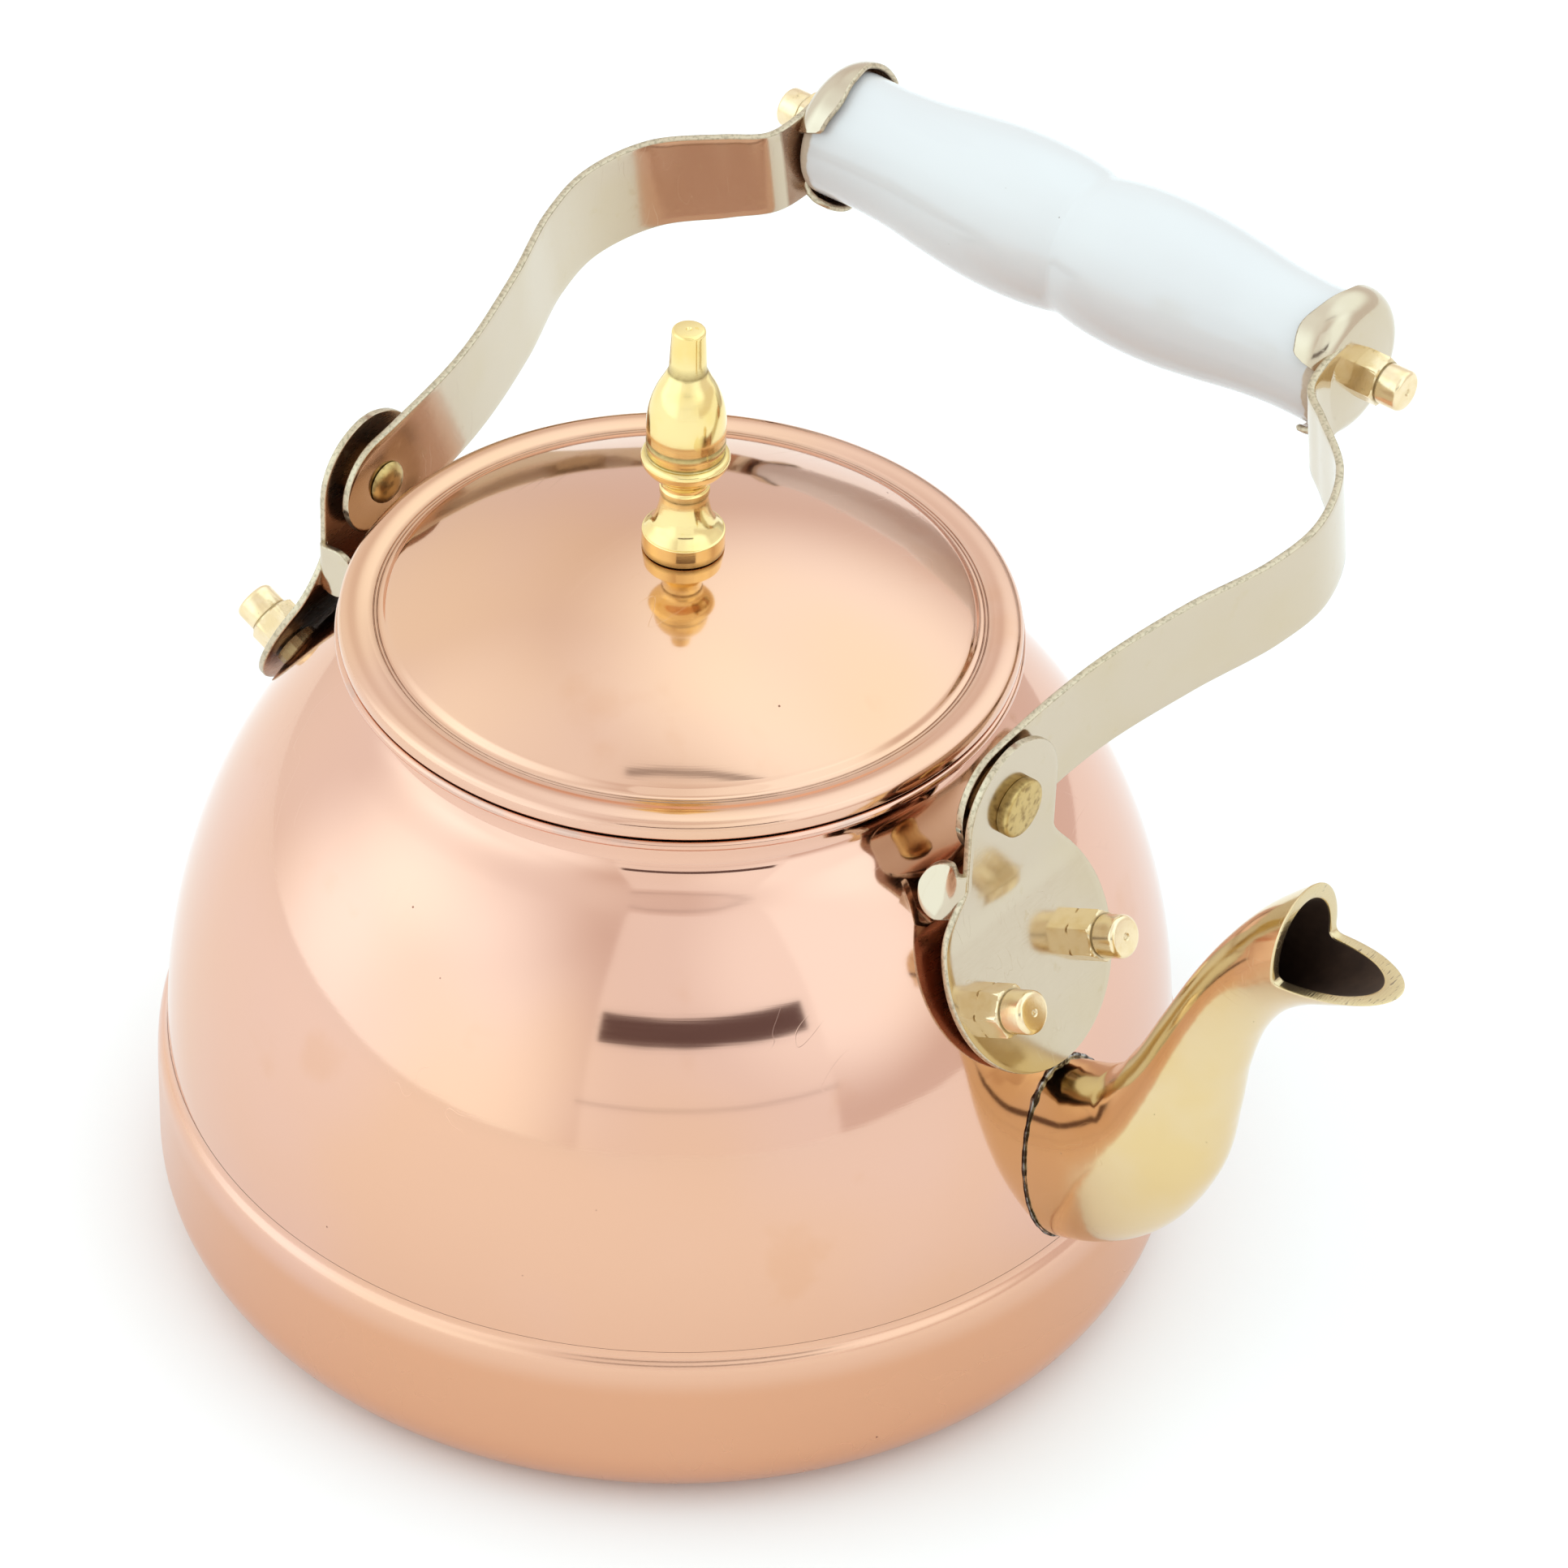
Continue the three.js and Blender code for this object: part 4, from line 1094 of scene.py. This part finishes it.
def buildNuts(s):
    # four cap nuts stand square on the leaning pads, each turned its own way, and two on the rod's ends
    nut, dirt = nutShell(s)
    marks = {"groove": [dirt]}
    b = bracketShape
    lean = np.radians(b["lean"])
    out, up = np.array([np.cos(lean), 0, np.sin(lean)]), np.array([-np.sin(lean), 0, np.cos(lean)])
    bend = np.array([b["face"], 0, b["bendHeight"]])
    sides = {"Right": -1, "Left": 1}
    for n, (end, hand) in enumerate((end, hand) for end in ways for hand in sides):
        twist = 0.35 + 0.5 * n
        cos, sin = np.cos(twist), np.sin(twist)
        spun = nut @ np.array([[cos, sin, 0], [-sin, cos, 0], [0, 0, 1]])
        seat = bend - up * s["below"] + np.array([0, sides[hand] * s["apart"], 0]) + out * 0.02
        shell = ways[end](placed(spun, seat, (0, 1, 0), up, out))
        addPiece(end + "CapNut" + hand, [shell], "turned", "kettle_body",
                 [f"{end}_cap_nut_{hand.lower()}"], 28, marks)
    for end, turn in ways.items():
        seat = (bailShape["cupFace"] + 0.3, 0, bailShape["rodHeight"])
        shell = folded(turn(placed(nut, seat, (0, 1, 0), (0, 0, 1), (1, 0, 0))))
        addPiece(end + "RodNut", [shell], "turned", "bail", [end + "_rod_nut"], 28, marks)


buildNuts(nutShape)

rivetShape = {
    "head": 5.3,
    "shank": 2.4,
    "inner": 66.95,
    "outer": 72.05,
    "height": 2.1,
    "unevenness": 0.012,
    "columns": 96,
}


def buildRivets(s):
    # a profile turned round the pivot: a hammered inner button, the shank and a low domed outer head
    a, b, head, h = s["inner"], s["outer"], s["head"], s["height"]
    button = bezier((0, a - 1.75), (2.4, a - 1.75), (3.7, a - 1.1), (4.0, a - 0.1), 10)
    shank = [(3.9, a), (s["shank"], a), (s["shank"], b)]
    side = [(head - 0.15, b), (head, b + 0.2), (head, b + h - 0.75)]
    crown = bezier((head - 0.9, b + h - 0.03), (3, b + h + 0.12), (1, b + h + 0.15), (0, b + h + 0.15), 10)
    line = joined(button, shank, side, arc((head - 0.7, b + h - 0.75), 0.7, 0, 75, 6), crown)
    shell = turnedShell(line, s["columns"])
    around = np.arange(s["columns"]) * tau / s["columns"]
    wobble = 1 + s["unevenness"] * np.sin(3 * around)[None, :, None] * np.array([1, 1, 0])
    pivot = (0, 0, bracketShape["pivotHeight"])
    shell = placed(shell * wobble, pivot, (0, 1, 0), (0, 0, 1), (1, 0, 0))
    dirt = (np.abs(line[:, 0] - head) < 0.05) * 0.4
    marks = {"groove": [np.repeat(dirt[:, None], s["columns"], 1)]}
    for end, turn in ways.items():
        addPiece(end + "PivotRivet", [turn(shell)], "worn", "kettle_body",
                 [end + "_pivot_rivet"], 40, marks)


buildRivets(rivetShape)
print("nuts and rivets built")


# grip

gripShape = {
    "half": 57.7,
    "bore": 3.3,
    # radius and distance from the waist
    "line": [(13.5, 0), (13.6, 1.1), (13.98, 3.0), (14.6, 7.3), (14.96, 14.5), (14.7, 22), (13.7, 31),
             (12.6, 39), (12.05, 47), (12.15, 54.5)],
    "columns": 160,
}


def buildGrip(s):
    # two long swellings that meet in a shallow waist, turned round the rod: one half and its mirror image
    end = s["half"]
    edge = joined([(12.15, 55.2)], arc((10.9, end - 1.3), (1.2, 1.3), 0, 90, 9), [(5.2, end)],
                  arc((4.4, end - 0.9), 0.9, 70, 180, 6), [(s["bore"], end - 2)])
    half = joined(softLine(s["line"], 90), edge)
    mirrored = (half * [1, -1])[::-1]
    shell = turnedShell(joined(mirrored, half[1:], mirrored[:1]), s["columns"])
    shell = placed(shell, (0, 0, bailShape["rodHeight"]), (0, 1, 0), (0, 0, 1), (1, 0, 0))
    addPiece("porcelainGrip", [folded(shell)], "porcelain", "grip", ["grip"], 50)


buildGrip(gripShape)
print("grip built")


# hidden hardware keeps its own shape and takes a dull finish

def dressHardware():
    # bolts, spacers and washers behind the plates, the rod, and the fixings under the knob
    names = [f"{end}_{kind}_{hand}" for end in ways for kind in ("bolt", "spacer")
             for hand in ("left", "right")]
    names += [end + "_pivot_washer" for end in ways] + ["tie_rod", "knob_washer", "knob_screw"]
    for name in names:
        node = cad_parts[name]
        node.data.materials.clear()
        node.data.materials.append(finish["bronze"])


dressHardware()


# floor and light

studio = {
    "floor": (0.96, 0.945, 0.935),
    "floorHalf": 3.0,
    "base": (0.91, 0.89, 0.875),
    "glow": (0.42, 0.62, 0.70),
    "card": (0.16, 0.12, 0.12),
    # soft lights: azimuth from the front, elevation, cosine where it starts and where it is full, strength
    "lights": [
        (-26, 8, 0.55, 0.97, 1.2), (-50, 56, 0.78, 0.99, 0.4), (86, 38, 0.80, 0.97, 1.15),
        (172, 54, 0.70, 0.96, 1.1),
        (20, 88, 0.80, 0.99, 0.15), (-80, 22, 0.62, 0.98, 0.45),
    ],
    # the front flap: azimuths, elevations
    "flap": (19.0, 75.5, -20.0, 62.0),
    # lights the floor in front, unseen in the metal
    "fill": {"place": (-0.25, -0.75, 0.8), "size": 0.8, "power": 0.5},
    # a dark bar across the flap: azimuths, elevations; and two faint seams at their elevations
    "bar": (20.5, 72.5, 24.0, 31.5),
    "seams": (9.0, 64.0),
    # a slot in the roof: along the camera's right, then away from it, in units of the height
    "slot": (-0.15, 0.27, -0.060, -0.033),
    "slotTurn": (0.8, 0.6),  # cosine and sine of its direction
    # how far the flap holds the glows back, its own glow, and how dark the slot and seams are
    "flapHold": 0.65,
    "flapGlow": 0.5,
    "slotShade": 0.75,
    "seamShade": 0.35,
}


def setStudio(s):
    # a pale floor, and a world that is one soft colour plus glows: each adds its strength where the cosine
    # between the view and its direction is over its start, and the flap, bar, seams and slot darken theirs
    h = s["floorHalf"]
    corners = np.array([(-h, -h, 0), (h, -h, 0), (h, h, 0), (-h, h, 0)]) - [0, 0, 0.0002]
    data = bpy.data.meshes.new("floor")
    data.from_pydata(corners.tolist(), [], [(0, 1, 2, 3)])
    material, wire, place = startFinish("paleFloor")
    colour = place.noise(0.01, 2.0).blend(s["floor"], tuple(0.99 * c for c in s["floor"]))
    endFinish(wire, {"Base Color": colour}, {"Roughness": 0.65, "Specular IOR Level": 0.2})
    data.materials.append(material)
    floor = bpy.data.objects.new("floor", data)
    bpy.context.scene.collection.objects.link(floor)

    world = bpy.data.worlds.new("studio")
    world.use_nodes = True
    bpy.context.scene.world = world
    tree = world.node_tree
    tree.nodes.clear()
    wire = Wire(tree)
    way = wire.node("ShaderNodeTexCoord", {}, {}, 0)
    east, north, rise = (way.node("ShaderNodeSeparateXYZ", {}, {0: way}, k) for k in range(3))
    azimuth = east.sum("ARCTAN2", east, 0.0 - north) * float(np.degrees(1))
    elevation = rise.sum("ARCSINE", rise, 0.0) * float(np.degrees(1))

    def window(edges, soft):
        # 1 between two azimuths and two elevations, easing to 0 over the soft margin
        low, high, bottom, top = edges
        return (azimuth.above(low - soft, low + soft) * azimuth.above(high + soft, high - soft)
                * elevation.above(bottom - soft, bottom + soft) * elevation.above(top + soft, top - soft))

    flap = window(s["flap"], 0.8)
    left, right = s["bar"][0] - 3, s["bar"][1] + 4
    seams = sum(window((left, right, at - 0.35, at + 0.35), 0.3) for at in s["seams"])
    cos, sin = s["slotTurn"]
    along, away = east * cos + north * sin, north * cos - east * sin
    left, right, near, far = s["slot"]
    slot = (along.above(left - 0.01, left + 0.01) * along.above(right + 0.01, right - 0.01)
            * away.above(near - 0.003, near + 0.003) * away.above(far + 0.003, far - 0.003)
            * rise.above(0.5, 0.6))
    glow = 0.0
    for a, e, start, full, strength in s["lights"]:
        a, e = np.radians(a), np.radians(e)
        aim = (np.sin(a) * np.cos(e), -np.cos(a) * np.cos(e), np.sin(e))
        near = wire.node("ShaderNodeVectorMath", {"operation": "DOT_PRODUCT"}, {0: way, 1: aim}, 1)
        glow = glow + near.above(start, full) * strength
    glow = glow * (1 - flap * s["flapHold"]) + flap * s["flapGlow"]
    grey = wire.node("ShaderNodeCombineXYZ", {}, {0: glow, 1: glow, 2: glow})
    mixed = wire.node("ShaderNodeVectorMath", {"operation": "MULTIPLY_ADD"},
                      {0: grey, 1: s["glow"], 2: s["base"]})
    shade = window(s["bar"], 0.4) + slot * s["slotShade"] + seams * s["seamShade"]
    colour = shade.blend(mixed, s["card"])
    light = wire.node("ShaderNodeBackground", {}, {"Color": colour, "Strength": 1.0})
    end = tree.nodes.new("ShaderNodeOutputWorld")
    tree.links.new(light.socket, end.inputs["Surface"])
    lamp = bpy.data.lights.new("floorFill", "AREA")
    lamp.size, lamp.energy = s["fill"]["size"], s["fill"]["power"]
    holder = bpy.data.objects.new("floorFill", lamp)
    holder.matrix_world = Matrix.Translation(s["fill"]["place"])
    holder.visible_camera = holder.visible_glossy = False
    bpy.context.scene.collection.objects.link(holder)
    bpy.context.scene.view_settings.view_transform = "Standard"


setStudio(studio)
print("studio set")
